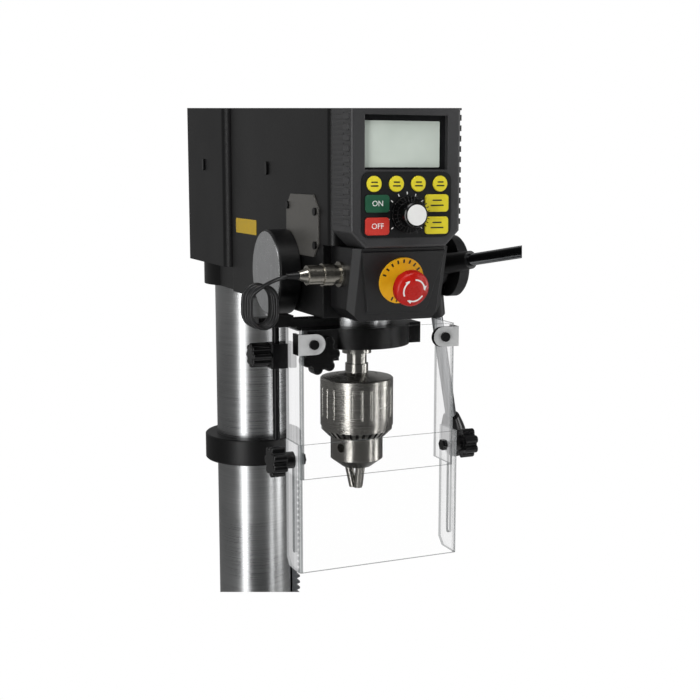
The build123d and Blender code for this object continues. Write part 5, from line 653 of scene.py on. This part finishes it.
def repeated(name: str, unit: Piece, points: list[Vector], turns: list[Vector]) -> Piece:
    """Sets copies of a small shape on points with Geometry Nodes.

    Args:
        name: The piece's name.
        unit: The shape that is repeated; it is removed afterwards.
        points: Places in millimetres.
        turns: Turns about X, Y and Z for each point, in radians.

    Returns:
        The copies as one plain mesh at the origin.
    """
    mesh = bpy.data.meshes.new(name + "_points")
    mesh.from_pydata([tuple(p * MM) for p in points], [], [])
    stored = mesh.attributes.new("turn", "FLOAT_VECTOR", "POINT")
    stored.data.foreach_set("vector", [value for turn in turns for value in turn])
    host = bpy.data.objects.new(name + "_host", mesh)
    bpy.context.scene.collection.objects.link(host)
    material = unit.data.materials[0]
    tree = repeat_tree(name + "_nodes", material)
    modifier = host.modifiers.new("repeat", "NODES")
    modifier.node_group = tree
    sockets = {item.name: item.identifier for item in tree.interface.items_tree}
    modifier[sockets["Unit"]] = unit
    result = evaluated_mesh(host)
    host.modifiers.remove(modifier)
    bpy.data.objects.remove(host)
    bpy.data.objects.remove(unit)
    return mesh_object(name, result, material)


def carry(piece: Piece, body: str) -> None:
    """Sets a piece on a body of the frame and reports it."""
    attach(piece, body)
    LOG.info("%s rides on %s", piece.name, body)


@dataclass
class CadParts:
    """Finishes of the CAD nodes that keep their own solids."""

    groups: tuple[tuple[Finish, tuple[str, ...]], ...] = (
        (ENAMEL, ("base", "column_flange", "rack_collar", "head_casting", "table_bracket")),
        (ENAMEL, ("lift_crank", "guard_collar")), (POWDER, ("rear_cover",)), (BLANK, ("nameplate",)),
        (GROUND, ("column", "quill")),
        (OXIDE, ("fixing_screws", "tilt_bolt", "guard_post", "guard_clamp", "stop_stem")),
        (CORE, ("motor_stator", "motor_rotor")), (ZINC, ("spring_case",)),
        (MILLED, ("return_spring", "table_rack", "lift_pinion", "column_clamp_lever")),
        (MILLED, ("quill_bearings", "feed_shaft")), (IRON, ("table",)),
        (CHUCK, ("spindle", "chuck_body", "chuck_sleeve", "chuck_jaw_1", "chuck_jaw_2", "chuck_jaw_3")),
        (CHROME, ("feed_levers",)), (NICKEL, ("cable_plug",)), (PANEL, ("panel_housing",)),
        (ABS, ("stop_housing", "interlock_switch", "feed_hub")), (MASK, ("lcd_display",)),
        (FILM, ("keypad_plate",)),
        (PHENOLIC, ("crank_grip", "lever_knobs", "collar_knob", "left_guard_knob", "right_guard_knob")),
        (PHENOLIC, ("post_clamp_knob", "speed_dial")), (STOP_RED, ("stop_cap",)),
        (YELLOW_KEY, ("round_key_1", "round_key_2", "round_key_3", "round_key_4")),
        (YELLOW_KEY, ("upper_right_key", "lower_right_key")), (GREEN_KEY, ("on_key",)),
        (RED_KEY, ("off_key",)),
    )

    def dress(self, nodes: dict[str, Piece]) -> None:
        """Gives each node its finish.

        Args:
            nodes: The frame's CAD nodes by name.
        """
        for finish, names in self.groups:
            for name in names:
                data = nodes[name].data
                data.materials.clear()
                data.materials.append(finish.build())
                for polygon in data.polygons:
                    polygon.material_index = 0
                LOG.info("%s has %s", name, finish.name)


@dataclass
class ChuckSleeve:
    """The chuck's outer sleeve, with painted shade in the gaps between its key teeth."""

    bottom: float = HEAD_BOTTOM - 101.2
    teeth_height: float = 5.4
    bore: float = 22.4
    band_radius: float = 28.6
    gap_reach: float = 0.2
    wall_slope: float = 0.3
    step_slope: float = -0.8

    def dress(self, nodes: dict[str, Piece]) -> None:
        """Gives the walls of the gaps and the step above the band a near-black finish as painted shade.

        Args:
            nodes: The frame's CAD nodes by name.
        """
        data = nodes["chuck_sleeve"].data
        data.materials.append(GAP_SHADE_STEEL.build())
        for polygon in data.polygons:
            # The gaps' walls and the step get the near-black painted shade.
            polygon.material_index = 1 if self.gets_painted_shade(polygon) else 0
        LOG.info("chuck_sleeve has dark gaps")

    def gets_painted_shade(self, polygon: bpy.types.MeshPolygon) -> bool:
        """Tells a wall or floor of a tooth gap, or the narrow step around the sleeve.

        Args:
            polygon: A triangle of the sleeve.

        Returns:
            True where the painted shade goes.
        """
        x, y, z = polygon.center / MM
        radius = math.hypot(x, y - SPINDLE_Y)
        if radius < self.bore:
            return False
        if z < self.bottom + self.teeth_height + self.gap_reach:
            return abs(polygon.normal.z) < self.wall_slope
        return polygon.normal.z < self.step_slope and radius > self.band_radius


@dataclass
class ClearGuards:
    """The two clear sheets around the chuck."""

    sheet: ClearSheet = ClearSheet()
    thickness: float = 2.2
    level: float = 0.5
    frontal: float = 0.9
    bend_span: tuple[float, float] = (0.35, 0.94)

    def dress(self, nodes: dict[str, Piece]) -> None:
        """Splits each sheet's faces into broad faces and sawn edges.

        Args:
            nodes: The frame's CAD nodes by name.
        """
        for name in ("upper_guard", "lower_guard"):
            data = nodes[name].data
            data.materials.clear()
            data.materials.append(self.sheet.face())
            data.materials.append(self.sheet.edge())
            for polygon in data.polygons:
                polygon.material_index = 1 if self.is_edge(data, polygon) else 0
            LOG.info("%s has clear faces and grey edges", name)

    def is_edge(self, data: Mesh, polygon: bpy.types.MeshPolygon) -> bool:
        """Tells a triangle on a sawn edge, in a slot, or on the outside of a bend.

        Args:
            data: The sheet's mesh.
            polygon: One of its triangles.

        Returns:
            True where the edge's finish belongs.
        """
        normal = polygon.normal
        if abs(normal.z) > self.level:
            return True
        if abs(normal.y) > self.frontal:
            across = [data.vertices[i].co.x for i in polygon.vertices]
            return max(across) - min(across) < 2 * self.thickness * MM
        low, high = self.bend_span
        return low < abs(normal.x) < high and normal.y < 0


@dataclass
class ControlPanel:
    """Screen, key legends, grips and dial marks on the front panel."""

    screen_x: float = -1.5
    screen_y: float = SPINDLE_Y - 85.5
    screen_z: float = HEAD_BOTTOM + 129.5
    screen_width: float = 60.0
    screen_height: float = 33.0
    screen_rise: float = 0.35
    film_front: float = SPINDLE_Y - 91.3
    key_front: float = SPINDLE_Y - 92.5
    round_key_z: float = HEAD_BOTTOM + 101.3
    round_key_pitch: float = 17.5
    wide_key_x: float = 23.7
    upper_key_z: float = HEAD_BOTTOM + 87.3
    lower_key_z: float = HEAD_BOTTOM + 71.2
    letter_size: float = 5.6
    ink: float = 0.12
    dial_front: float = SPINDLE_Y - 107.1
    dial_z: float = HEAD_BOTTOM + 79.5
    dial_cap_radius: float = 7.4
    dial_cap_rise: float = 0.9
    dial_cap_bevel: float = 0.4
    ridge_count: int = 30
    ridge_radius: float = 9.1
    tick_count: int = 11
    tick_radius: float = 15.2
    tick_start: float = -130.0
    tick_step: float = 26.0
    side_x: float = 43.5
    rib_y: float = SPINDLE_Y - 67.0
    rib_bottom: float = HEAD_BOTTOM + 72.0
    rib_rows: int = 30
    rib_pitch: float = 3.6
    rib_rise: float = 0.6

    def screen(self) -> Piece:
        """Makes the grey display area inside its dark mask."""
        place = facing_front(self.screen_x, self.screen_y, self.screen_z)
        outline = rounded(self.screen_width, self.screen_height, 1.0)
        return prism("screen_glass", outline, place, self.screen_rise, SCREEN)

    def legends(self) -> dict[str, Piece]:
        """Prints the keys: two words and plain bars.

        Returns:
            The print of each key, by the key's name.
        """
        made = {
            "on_key": self.word("on_legend", "ON", self.upper_key_z),
            "off_key": self.word("off_legend", "OFF", self.lower_key_z),
        }
        for key, z in (("upper_right_key", self.upper_key_z), ("lower_right_key", self.lower_key_z)):
            made[key] = self.bars(key, self.wide_key_x, z, ((2.1, 7.5), (-1.6, 10.5)))
        for number in range(4):
            key = f"round_key_{number + 1}"
            x = self.round_key_pitch * (number - 1.5)
            made[key] = self.bars(key, x, self.round_key_z, ((1.2, 5.0), (-1.4, 6.2)))
        return made

    def word(self, name: str, text: str, z: float) -> Piece:
        """Prints one word on a key of the left column."""
        place = facing_front(-self.wide_key_x, self.key_front, z)
        return lettering(name, text, self.letter_size, place, WHITE_INK)

    def bars(self, key: str, x: float, z: float, rows: tuple[tuple[float, float], ...]) -> Piece:
        """Prints short bars in place of words.

        Args:
            key: The key that carries them.
            x: The key's middle.
            z: The key's middle.
            rows: Height above the middle and length of each bar.

        Returns:
            The bars as one piece.
        """
        name = key + "_legend"
        pieces = []
        for i, (rise, length) in enumerate(rows):
            place = facing_front(x, self.key_front, z + rise)
            pieces.append(prism(f"{name}_{i}", rounded(length, 1.0, 0.4, 2), place, self.ink, DARK_INK))
        return joined(name, pieces)

    def dial(self) -> Piece:
        """Makes the dial's white cap."""
        place = facing_front(0, self.dial_front, self.dial_z)
        outline = circle(self.dial_cap_radius, 40)
        return prism("dial_cap", outline, place, self.dial_cap_rise, CAP_WHITE, self.dial_cap_bevel)

    def dial_ridges(self) -> Piece:
        """Sets fine grip ridges around the dial.

        Returns:
            All ridges as one piece.
        """
        upright = Matrix.Rotation(QUARTER, 4, "Y") @ Matrix.Rotation(QUARTER, 4, "Z")
        lengthwise = upright @ Matrix.Rotation(QUARTER, 4, "X")
        unit = prism("ridge_unit", rounded(0.7, 10.0, 0.3, 2), lengthwise, 0.5, PHENOLIC)
        middle = Vector((0, self.dial_front + 7.0, self.dial_z))
        points, turns = [], []
        for i in range(self.ridge_count):
            a = 2 * math.pi * i / self.ridge_count
            points.append(middle + Vector((math.cos(a), 0, math.sin(a))) * self.ridge_radius)
            turns.append(Vector((0, -a, 0)))
        return repeated("dial_ridges", unit, points, turns)

    def tick_marks(self) -> Piece:
        """Prints ticks around the dial.

        Returns:
            All ticks as one piece.
        """
        unit = prism("tick_unit", rounded(0.7, 2.0, 0.2, 2), facing_front(0, 0, 0), 0.1, WHITE_INK)
        middle = Vector((0, self.film_front, self.dial_z))
        points, turns = [], []
        for i in range(self.tick_count):
            a = math.radians(self.tick_start + self.tick_step * i)
            points.append(middle + Vector((math.sin(a), 0, math.cos(a))) * self.tick_radius)
            turns.append(Vector((0, a, 0)))
        return repeated("dial_ticks", unit, points, turns)

    def side_ribs(self) -> Piece:
        """Sets an upright row of fine grip ribs on both sides of the housing.

        Returns:
            All ribs as one piece.
        """
        flat = Matrix.Rotation(QUARTER, 4, "X") @ Matrix.Rotation(QUARTER, 4, "Y")
        unit = prism("rib_unit", rounded(20.0, 1.6, 0.6, 3), flat, self.rib_rise, GRIP)
        heights = [self.rib_bottom + row * self.rib_pitch for row in range(self.rib_rows)]
        points = [
            Vector((side * self.side_x - self.rib_rise / 2, self.rib_y, height))
            for side in (-1, 1)
            for height in heights
        ]
        return repeated("panel_ribs", unit, points, [Vector()] * len(points))


@dataclass
class StopButton:
    """Print on the emergency-stop plate and cap."""

    top_front: float = SPINDLE_Y - 86.4
    bottom_front: float = SPINDLE_Y - 72.0
    top_z: float = HEAD_BOTTOM + 55.5
    height: float = 55.0
    centre_z: float = HEAD_BOTTOM + 31.5
    disc_radius: float = 17.6
    disc_lift: float = 1.6
    disc_rise: float = 1.5
    mark_radius: float = 15.1
    mark_ink: float = 0.12
    cap_lift: float = 24.45
    arrow_inner: float = 7.6
    arrow_outer: float = 8.7
    arrow_start: float = 20.0
    arrow_sweep: float = 70.0
    arrow_ink: float = 0.25

    def face(self, lift: float) -> Matrix:
        """Finds the plane of the sloping face.

        Args:
            lift: How far the plane is raised along its normal, in millimetres.

        Returns:
            The plane around the button's axis.
        """
        slope = (self.bottom_front - self.top_front) / self.height
        y = self.top_front + slope * (self.top_z - self.centre_z)
        normal = Vector((0, -1, -slope)).normalized()
        return plane_at(Vector((0, y, self.centre_z)) + normal * lift, RIGHT, normal)

    def ring(self) -> Piece:
        """Makes the yellow disc under the red cap."""
        place = self.face(self.disc_lift)
        return prism("stop_disc", circle(self.disc_radius, 64), place, self.disc_rise, STOP_YELLOW, 0.3)

    def ring_marks(self) -> Piece:
        """Prints short marks around the yellow disc, nine above and four below.

        Returns:
            All marks as one piece.
        """
        unit = prism("mark_unit", rounded(1.3, 2.9, 0.3, 2), Matrix(), self.mark_ink, DARK_INK)
        angles = [162 - 18 * i for i in range(9)] + [246 + 16 * i for i in range(4)]
        points, turns = [], []
        for angle in angles:
            a = math.radians(angle)
            points.append(Vector((math.cos(a), math.sin(a), 0)) * self.mark_radius)
            turns.append(Vector((0, 0, a - QUARTER)))
        marks = repeated("stop_marks", unit, points, turns)
        marks.data.transform(self.face(self.disc_lift + self.disc_rise))
        return marks

    def arrows(self) -> Piece:
        """Prints three white turn arrows on the cap.

        Returns:
            All arrows as one piece.
        """
        end = self.arrow_start + self.arrow_sweep
        outline = band(self.arrow_inner, self.arrow_outer, self.arrow_start, end, 16)
        shaft = prism("arrow_shaft", outline, Matrix(), self.arrow_ink, WHITE_INK)
        tip = math.radians(self.arrow_start)
        middle = Vector((math.cos(tip), math.sin(tip), 0)) * (self.arrow_inner + self.arrow_outer) / 2
        place = Matrix.Translation(middle * MM) @ Matrix.Rotation(tip, 4, "Z")
        corners = [(-1.9, 0.0), (0.0, -3.2), (1.9, 0.0)]
        head = prism("arrow_head", corners, place, self.arrow_ink, WHITE_INK)
        unit = joined("arrow_unit", [shaft, head])
        turns = [Vector((0, 0, 2 * math.pi * i / 3)) for i in range(3)]
        arrows = repeated("stop_arrows", unit, [Vector()] * 3, turns)
        arrows.data.transform(self.face(self.cap_lift))
        return arrows


@dataclass
class SpringCase:
    """Drum of the quill's return spring, its rim darkened as a painted reflection, with a bright cap, around
    the feed shaft's left end.
    """

    radius: float = 34.0
    cap_radius: float = 32.6
    inner_x: float = -46.6
    depth: float = 16.7
    cap_thickness: float = 1.1
    wall: float = 2.5
    lip: float = 0.6
    steps: int = 96
    centre_y: float = SPINDLE_Y + 35.5
    centre_z: float = HEAD_BOTTOM + 30.0

    def face(self, x: float) -> Matrix:
        """Plane across the shaft's axis that faces the left side."""
        return plane_at(Vector((x, self.centre_y, self.centre_z)), FRONT, LEFT)

    def drum(self) -> Piece:
        """Turns the hollow rim around the shaft's axis.

        Returns:
            The rim, open at both ends.
        """
        inner, outer, rise, lip = self.radius - self.wall, self.radius, self.depth, self.lip
        profile = ((inner, 0.0), (outer, 0.0), (outer, rise - lip), (outer - lip, rise), (inner, rise))
        shape = bmesh.new()
        rings = [
            [shape.verts.new(Vector((r * across, r * up, z)) * MM) for r, z in profile]
            for across, up in circle(1.0, self.steps)
        ]
        for ring, following in zip(rings, rings[1:] + rings[:1]):
            for j in range(len(profile)):
                k = (j + 1) % len(profile)
                shape.faces.new((ring[j], following[j], following[k], ring[k]))
        bmesh.ops.transform(shape, matrix=self.face(self.inner_x), verts=shape.verts)
        bmesh.ops.recalc_face_normals(shape, faces=shape.faces)
        # Near black on the rim is a painted reflection of dark surroundings.
        return moulded("spring_drum", shape, DARK_DRUM_REFLECTION.build())

    def cap(self) -> Piece:
        """Makes the bright disc that closes the drum."""
        place = self.face(self.inner_x - self.depth)
        outline = circle(self.cap_radius, self.steps)
        return prism("spring_drum_cap", outline, place, self.cap_thickness, ZINC, self.lip)


@dataclass
class HeadTrim:
    """Plain label on the head's left side and frosted faces on the guard's lugs."""

    side_x: float = -45.0
    label_y: float = SPINDLE_Y + 143.5
    label_z: float = HEAD_BOTTOM + 61.5
    label_length: float = 57.0
    label_height: float = 13.0
    label_rise: float = 0.2
    lug_x: float = 67.6
    lug_front: float = SPINDLE_Y - 46.5
    lug_z: float = HEAD_BOTTOM - 18.5
    lug_length: float = 14.0
    lug_radius: float = 7.9
    lug_rise: float = 0.15

    def sticker(self) -> Piece:
        """Makes a plain yellow label, left empty."""
        place = plane_at(Vector((self.side_x, self.label_y, self.label_z)), FRONT, LEFT)
        outline = rounded(self.label_length, self.label_height, 1.0)
        return prism("plain_sticker", outline, place, self.label_rise, STICKER)

    def corner_lugs(self) -> Piece:
        """Lays frosted faces over the guard's two corner lugs.

        Returns:
            Both faces as one piece.
        """
        radius, length = self.lug_radius, self.lug_length
        tip = [math.radians(-90 + 15 * i) for i in range(13)]
        outline = [(0.0, -radius), (length, -radius)]
        outline += [(length + radius * math.cos(a), radius * math.sin(a)) for a in tip]
        outline += [(0.0, radius)]
        mirrored = [(-x, y) for x, y in reversed(outline)]
        pieces = []
        for side, shape in ((-1, outline), (1, mirrored)):
            place = facing_front(side * self.lug_x, self.lug_front, self.lug_z)
            pieces.append(prism(f"lug_{side}", shape, place, self.lug_rise, LUG))
        return joined("corner_lug_faces", pieces)


@dataclass
class SwitchCable:
    """The guard switch's cable: plug, a short run, a hank of loops, switch."""

    diameter: float = 3.0
    plug: Triple = (-72.0, SPINDLE_Y - 60.0, HEAD_BOTTOM + 35.0)
    hank: Triple = (-91.5, SPINDLE_Y - 28.5, HEAD_BOTTOM + 10.2)
    gland: Triple = (-84.5, SPINDLE_Y - 17.2, HEAD_BOTTOM - 4.3)
    turns: float = 6.4
    fold_radius: float = 10.3
    straight: float = 5.4
    pitch: float = 3.15
    start: float = 0.31
    lap_points: int = 20
    fold_sway: float = 0.25
    sway: float = 0.6
    boot_length: float = 9.0
    boot_wide: float = 2.9
    boot_narrow: float = 2.0
    boot_gap: float = 0.2

    def on_loop(self, share: float, radius: float) -> tuple[float, float]:
        """Finds the place across and up on one long loop of the hank.

        Args:
            share: How far around, where 1.0 is one turn; it starts at the right end of the upper fold.
            radius: Radius of the two folds, in millimetres.

        Returns:
            Millimetres from the loop's centre.
        """
        fold = math.pi * radius
        half_loop = fold + 2 * self.straight
        half, along = divmod(share % 1.0 * 2 * half_loop, half_loop)
        angle = min(along, fold) / radius
        across = radius * math.cos(angle)
        up = self.straight + radius * math.sin(angle) - max(0.0, along - fold)
        return (across, up) if half < 1 else (-across, -up)

    def route(self) -> list[Vector]:
        """Works out the cable's centreline.

        Returns:
            Its control points in millimetres, from the plug to the switch.
        """
        x, y, z = self.plug
        points = [
            Vector((x, y, z)), Vector((x - 10.0, y, z)), Vector((x - 17.0, y + 6.5, z - 3.5)),
            Vector((x - 22.0, y + 15.0, z - 8.0)),
        ]
        centre_x, centre_y, centre_z = self.hank
        first = centre_y - self.pitch * self.turns / 2
        for i in range(int(self.turns * self.lap_points) + 1):
            done = i / self.lap_points
            radius = self.fold_radius + self.fold_sway * math.sin(2.3 * done)
            across, up = self.on_loop(self.start + done, radius)
            aside = centre_x + self.sway * math.sin(1.3 * done + 0.8)
            points.append(Vector((aside + across, first + self.pitch * done, centre_z + up)))
        x, y, z = self.gland
        return points + [Vector((x + 0.3, y - 2.4, z - 0.8)), Vector((x, y, z))]

    def boot(self) -> Piece:
        """Makes the tapered rubber sleeve where the cable leaves its plug.

        Returns:
            The sleeve.
        """
        x, y, z = self.plug
        middle = Vector((x - self.boot_length / 2 - self.boot_gap, y, z)) * MM
        shape = bmesh.new()
        bmesh.ops.create_cone(
            shape, cap_ends=True, segments=32, radius1=self.boot_wide * MM, radius2=self.boot_narrow * MM,
            depth=self.boot_length * MM,
            matrix=Matrix.Translation(middle) @ Matrix.Rotation(-QUARTER, 4, "Y"),
        )
        return moulded("cable_boot", shape, JACKET.build())

    def build(self) -> tuple[Piece, list[Vector], float]:
        """Makes the tube as a mesh.

        Returns:
            The piece, its centreline in metres and its length in metres.
        """
        curve = bpy.data.curves.new("switch_cable_line", "CURVE")
        curve.dimensions = "3D"
        curve.resolution_u = 6
        spline = curve.splines.new("NURBS")
        points = self.route()
        spline.points.add(len(points) - 1)
        for target, p in zip(spline.points, points):
            target.co = (*(p * MM), 1.0)
        spline.order_u = 4
        spline.use_endpoint_u = True
        holder = bpy.data.objects.new("switch_cable_line", curve)
        bpy.context.scene.collection.objects.link(holder)
        path = [vertex.co.copy() for vertex in evaluated_mesh(holder).vertices]
        curve.bevel_depth = self.diameter / 2 * MM
        curve.bevel_resolution = 3
        curve.use_fill_caps = True
        tube = evaluated_mesh(holder)
        bpy.data.objects.remove(holder)
        tube.polygons.foreach_set("use_smooth", [True] * len(tube.polygons))
        length = sum((b - a).length for a, b in zip(path, path[1:]))
        return mesh_object("switch_cable", tube, JACKET.build()), path, length


def seen_share(tree: Tree) -> Socket:
    """Adds a share that is 1 for rays from the camera, also behind a clear sheet, and 0 for the rest.

    Args:
        tree: The tree of a material or the world.

    Returns:
        The share.
    """
    path = add(tree, "ShaderNodeLightPath")
    seen = add(
        tree, "ShaderNodeMath", {0: path.outputs["Is Camera Ray"], 1: path.outputs["Is Transmission Ray"]},
        operation="MAXIMUM",
    )
    return seen.outputs[0]


@dataclass(frozen=True)
class SoftBox:
    """One area lamp; its place, aim and size are metres and its power is watts."""

    name: str
    place: Triple
    aim: Triple
    width: float
    height: float
    power: float

    def build(self) -> None:
        """Hangs the lamp."""
        data = bpy.data.lights.new(self.name, "AREA")
        data.shape = "RECTANGLE"
        data.size = self.width
        data.size_y = self.height
        data.energy = self.power
        lamp = bpy.data.objects.new(self.name, data)
        lamp.location = self.place
        lamp.rotation_euler = (Vector(self.aim) - Vector(self.place)).to_track_quat("-Z", "Y").to_euler()
        bpy.context.scene.collection.objects.link(lamp)


@dataclass
class Studio:
    """Camera, lamps, floor and backdrop; the blank margins are shares of the frame's width."""

    camera_place: Triple = (-0.3789, -0.9913, 1.440)
    pitch: float = 8.59
    yaw: float = 23.06
    sensor: float = 36.0
    lens: float = 61.7142857
    edge_margin: float = 0.1542857
    side_margin: float = 0.2542857
    card_distance: float = 0.02
    floor_half: float = 8.0
    room_front: float = 0.03
    room_back: float = 0.3
    lamps: tuple[SoftBox, ...] = (
        SoftBox("strip_left", (-1.75, -1.35, 1.15), (0.0, 0.1, 1.15), 0.75, 2.6, 30.0),
        SoftBox("strip_right", (1.45, -1.7, 1.15), (0.0, 0.1, 1.15), 0.25, 2.6, 9.0),
        SoftBox("side_right", (2.0, -0.7, 1.4), (0.0, -0.1, 1.3), 0.6, 2.0, 16.0),
        SoftBox("top", (-0.3, -1.0, 3.0), (0.0, -0.1, 1.3), 1.4, 1.0, 20.0),
    )

    def camera(self) -> None:
        """Sets the camera at the head's height, to the front left."""
        data = bpy.data.cameras.new("camera")
        data.sensor_width = self.sensor
        data.lens = self.lens
        data.clip_start = 0.005
        data.clip_end = 50.0
        camera = bpy.data.objects.new("camera", data)
        camera.location = self.camera_place
        camera.rotation_euler = (math.radians(90 - self.pitch), 0.0, -math.radians(self.yaw))
        bpy.context.scene.collection.objects.link(camera)
        bpy.context.scene.camera = camera

    def white(self, name: str, colour: str) -> Material:
        """Makes matt stage paint that looks white to the camera.

        Args:
            name: The material's name.
            colour: Its sRGB colour for light that falls on it.

        Returns:
            The material.
        """
        material = new_material(name)
        tree = material.node_tree
        matt = add(tree, "ShaderNodeBsdfDiffuse", {"Color": linear(colour)})
        light = add(tree, "ShaderNodeEmission", {"Strength": 1.0})
        mix = add(tree, "ShaderNodeMixShader", {0: seen_share(tree), 1: matt, 2: light})
        add(tree, "ShaderNodeOutputMaterial", {"Surface": mix})
        return material

    def floor(self) -> None:
        """Lays a wide pale floor."""
        shape = bmesh.new()
        bmesh.ops.create_grid(shape, x_segments=1, y_segments=1, size=self.floor_half)
        moulded("floor", shape, self.white("floor_paint", "#e6e6e6"))

    def margins(self) -> None:
        """Sets white cards close to the lens, for blank margins above, below and on the right."""
        camera = bpy.context.scene.camera
        bpy.context.view_layer.update()
        half = self.card_distance * self.sensor / self.lens / 2
        wide = half * 1.1
        inner = half * (1 - 2 * self.edge_margin)
        side = half * (1 - 2 * self.side_margin)
        paint = self.white("margin_paint", "#ffffff")
        cards = (
            ("margin_top", -wide, wide, inner, wide), ("margin_bottom", -wide, wide, -wide, -inner),
            ("margin_right", side, wide, -inner, inner),
        )
        for name, left, right, low, high in cards:
            mesh = bpy.data.meshes.new(name)
            outline = ((left, low), (right, low), (right, high), (left, high))
            mesh.from_pydata([(x, y, -self.card_distance) for x, y in outline], [], [(0, 1, 2, 3)])
            mesh.transform(camera.matrix_world)
            mesh_object(name, mesh, paint)

    def world(self) -> None:
        """Makes surroundings that are white to the camera and a soft grey room to everything else."""
        world = bpy.data.worlds.new("studio")
        bpy.context.scene.world = world
        world.use_nodes = True
        tree = world.node_tree
        tree.nodes.clear()
        white = add(tree, "ShaderNodeBackground", {"Color": (1, 1, 1, 1), "Strength": 1.0})
        place = add(tree, "ShaderNodeTexCoord")
        axes = add(tree, "ShaderNodeSeparateXYZ", {0: place.outputs["Generated"]})
        depth = remapped(tree, axes.outputs["Y"], (-1.0, 1.0), (self.room_front, self.room_back))
        room = add(tree, "ShaderNodeBackground", {"Color": (1, 1, 1, 1), "Strength": depth})
        mix = add(tree, "ShaderNodeMixShader", {0: seen_share(tree), 1: room, 2: white})
        add(tree, "ShaderNodeOutputWorld", {"Surface": mix})

    def build(self) -> None:
        """Sets the whole stage."""
        self.camera()
        self.world()
        self.floor()
        self.margins()
        for lamp in self.lamps:
            lamp.build()
        bpy.context.scene.view_settings.view_transform = "Standard"
        LOG.info("studio ready")


def build_panel() -> None:
    """Makes the control panel's details."""
    panel = ControlPanel()
    carry(panel.screen(), "stand")
    for key, legend in panel.legends().items():
        carry(legend, key + "_body")
    carry(panel.dial(), "dial_body")
    carry(panel.dial_ridges(), "dial_body")
    carry(panel.tick_marks(), "stand")
    carry(panel.side_ribs(), "stand")
    stop = StopButton()
    carry(stop.ring(), "stand")
    carry(stop.ring_marks(), "stand")
    carry(stop.arrows(), "stop_twist_body")


def build_cable() -> None:
    cable = SwitchCable()
    carry(cable.boot(), "stand")
    tube, path, length = cable.build()
    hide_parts("guard_cable", "cable_coil")
    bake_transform(tube)
    LOG.info("%s is %.3f m long", tube.name, length)


def main() -> None:
    """Builds every piece in order."""
    logging.basicConfig(level=logging.INFO, format="%(name)s %(message)s")
    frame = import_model()
    nodes = frame["nodes"]
    CadParts().dress(nodes)
    ChuckSleeve().dress(nodes)
    ClearGuards().dress(nodes)
    build_panel()
    case = SpringCase()
    for piece in (case.drum(), case.cap()):
        carry(piece, "stand")
        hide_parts("spring_case")
    trim = HeadTrim()
    carry(trim.sticker(), "stand")
    carry(trim.corner_lugs(), "guard_body")
    build_cable()
    Studio().build()


if __name__ == "__main__":
    main()
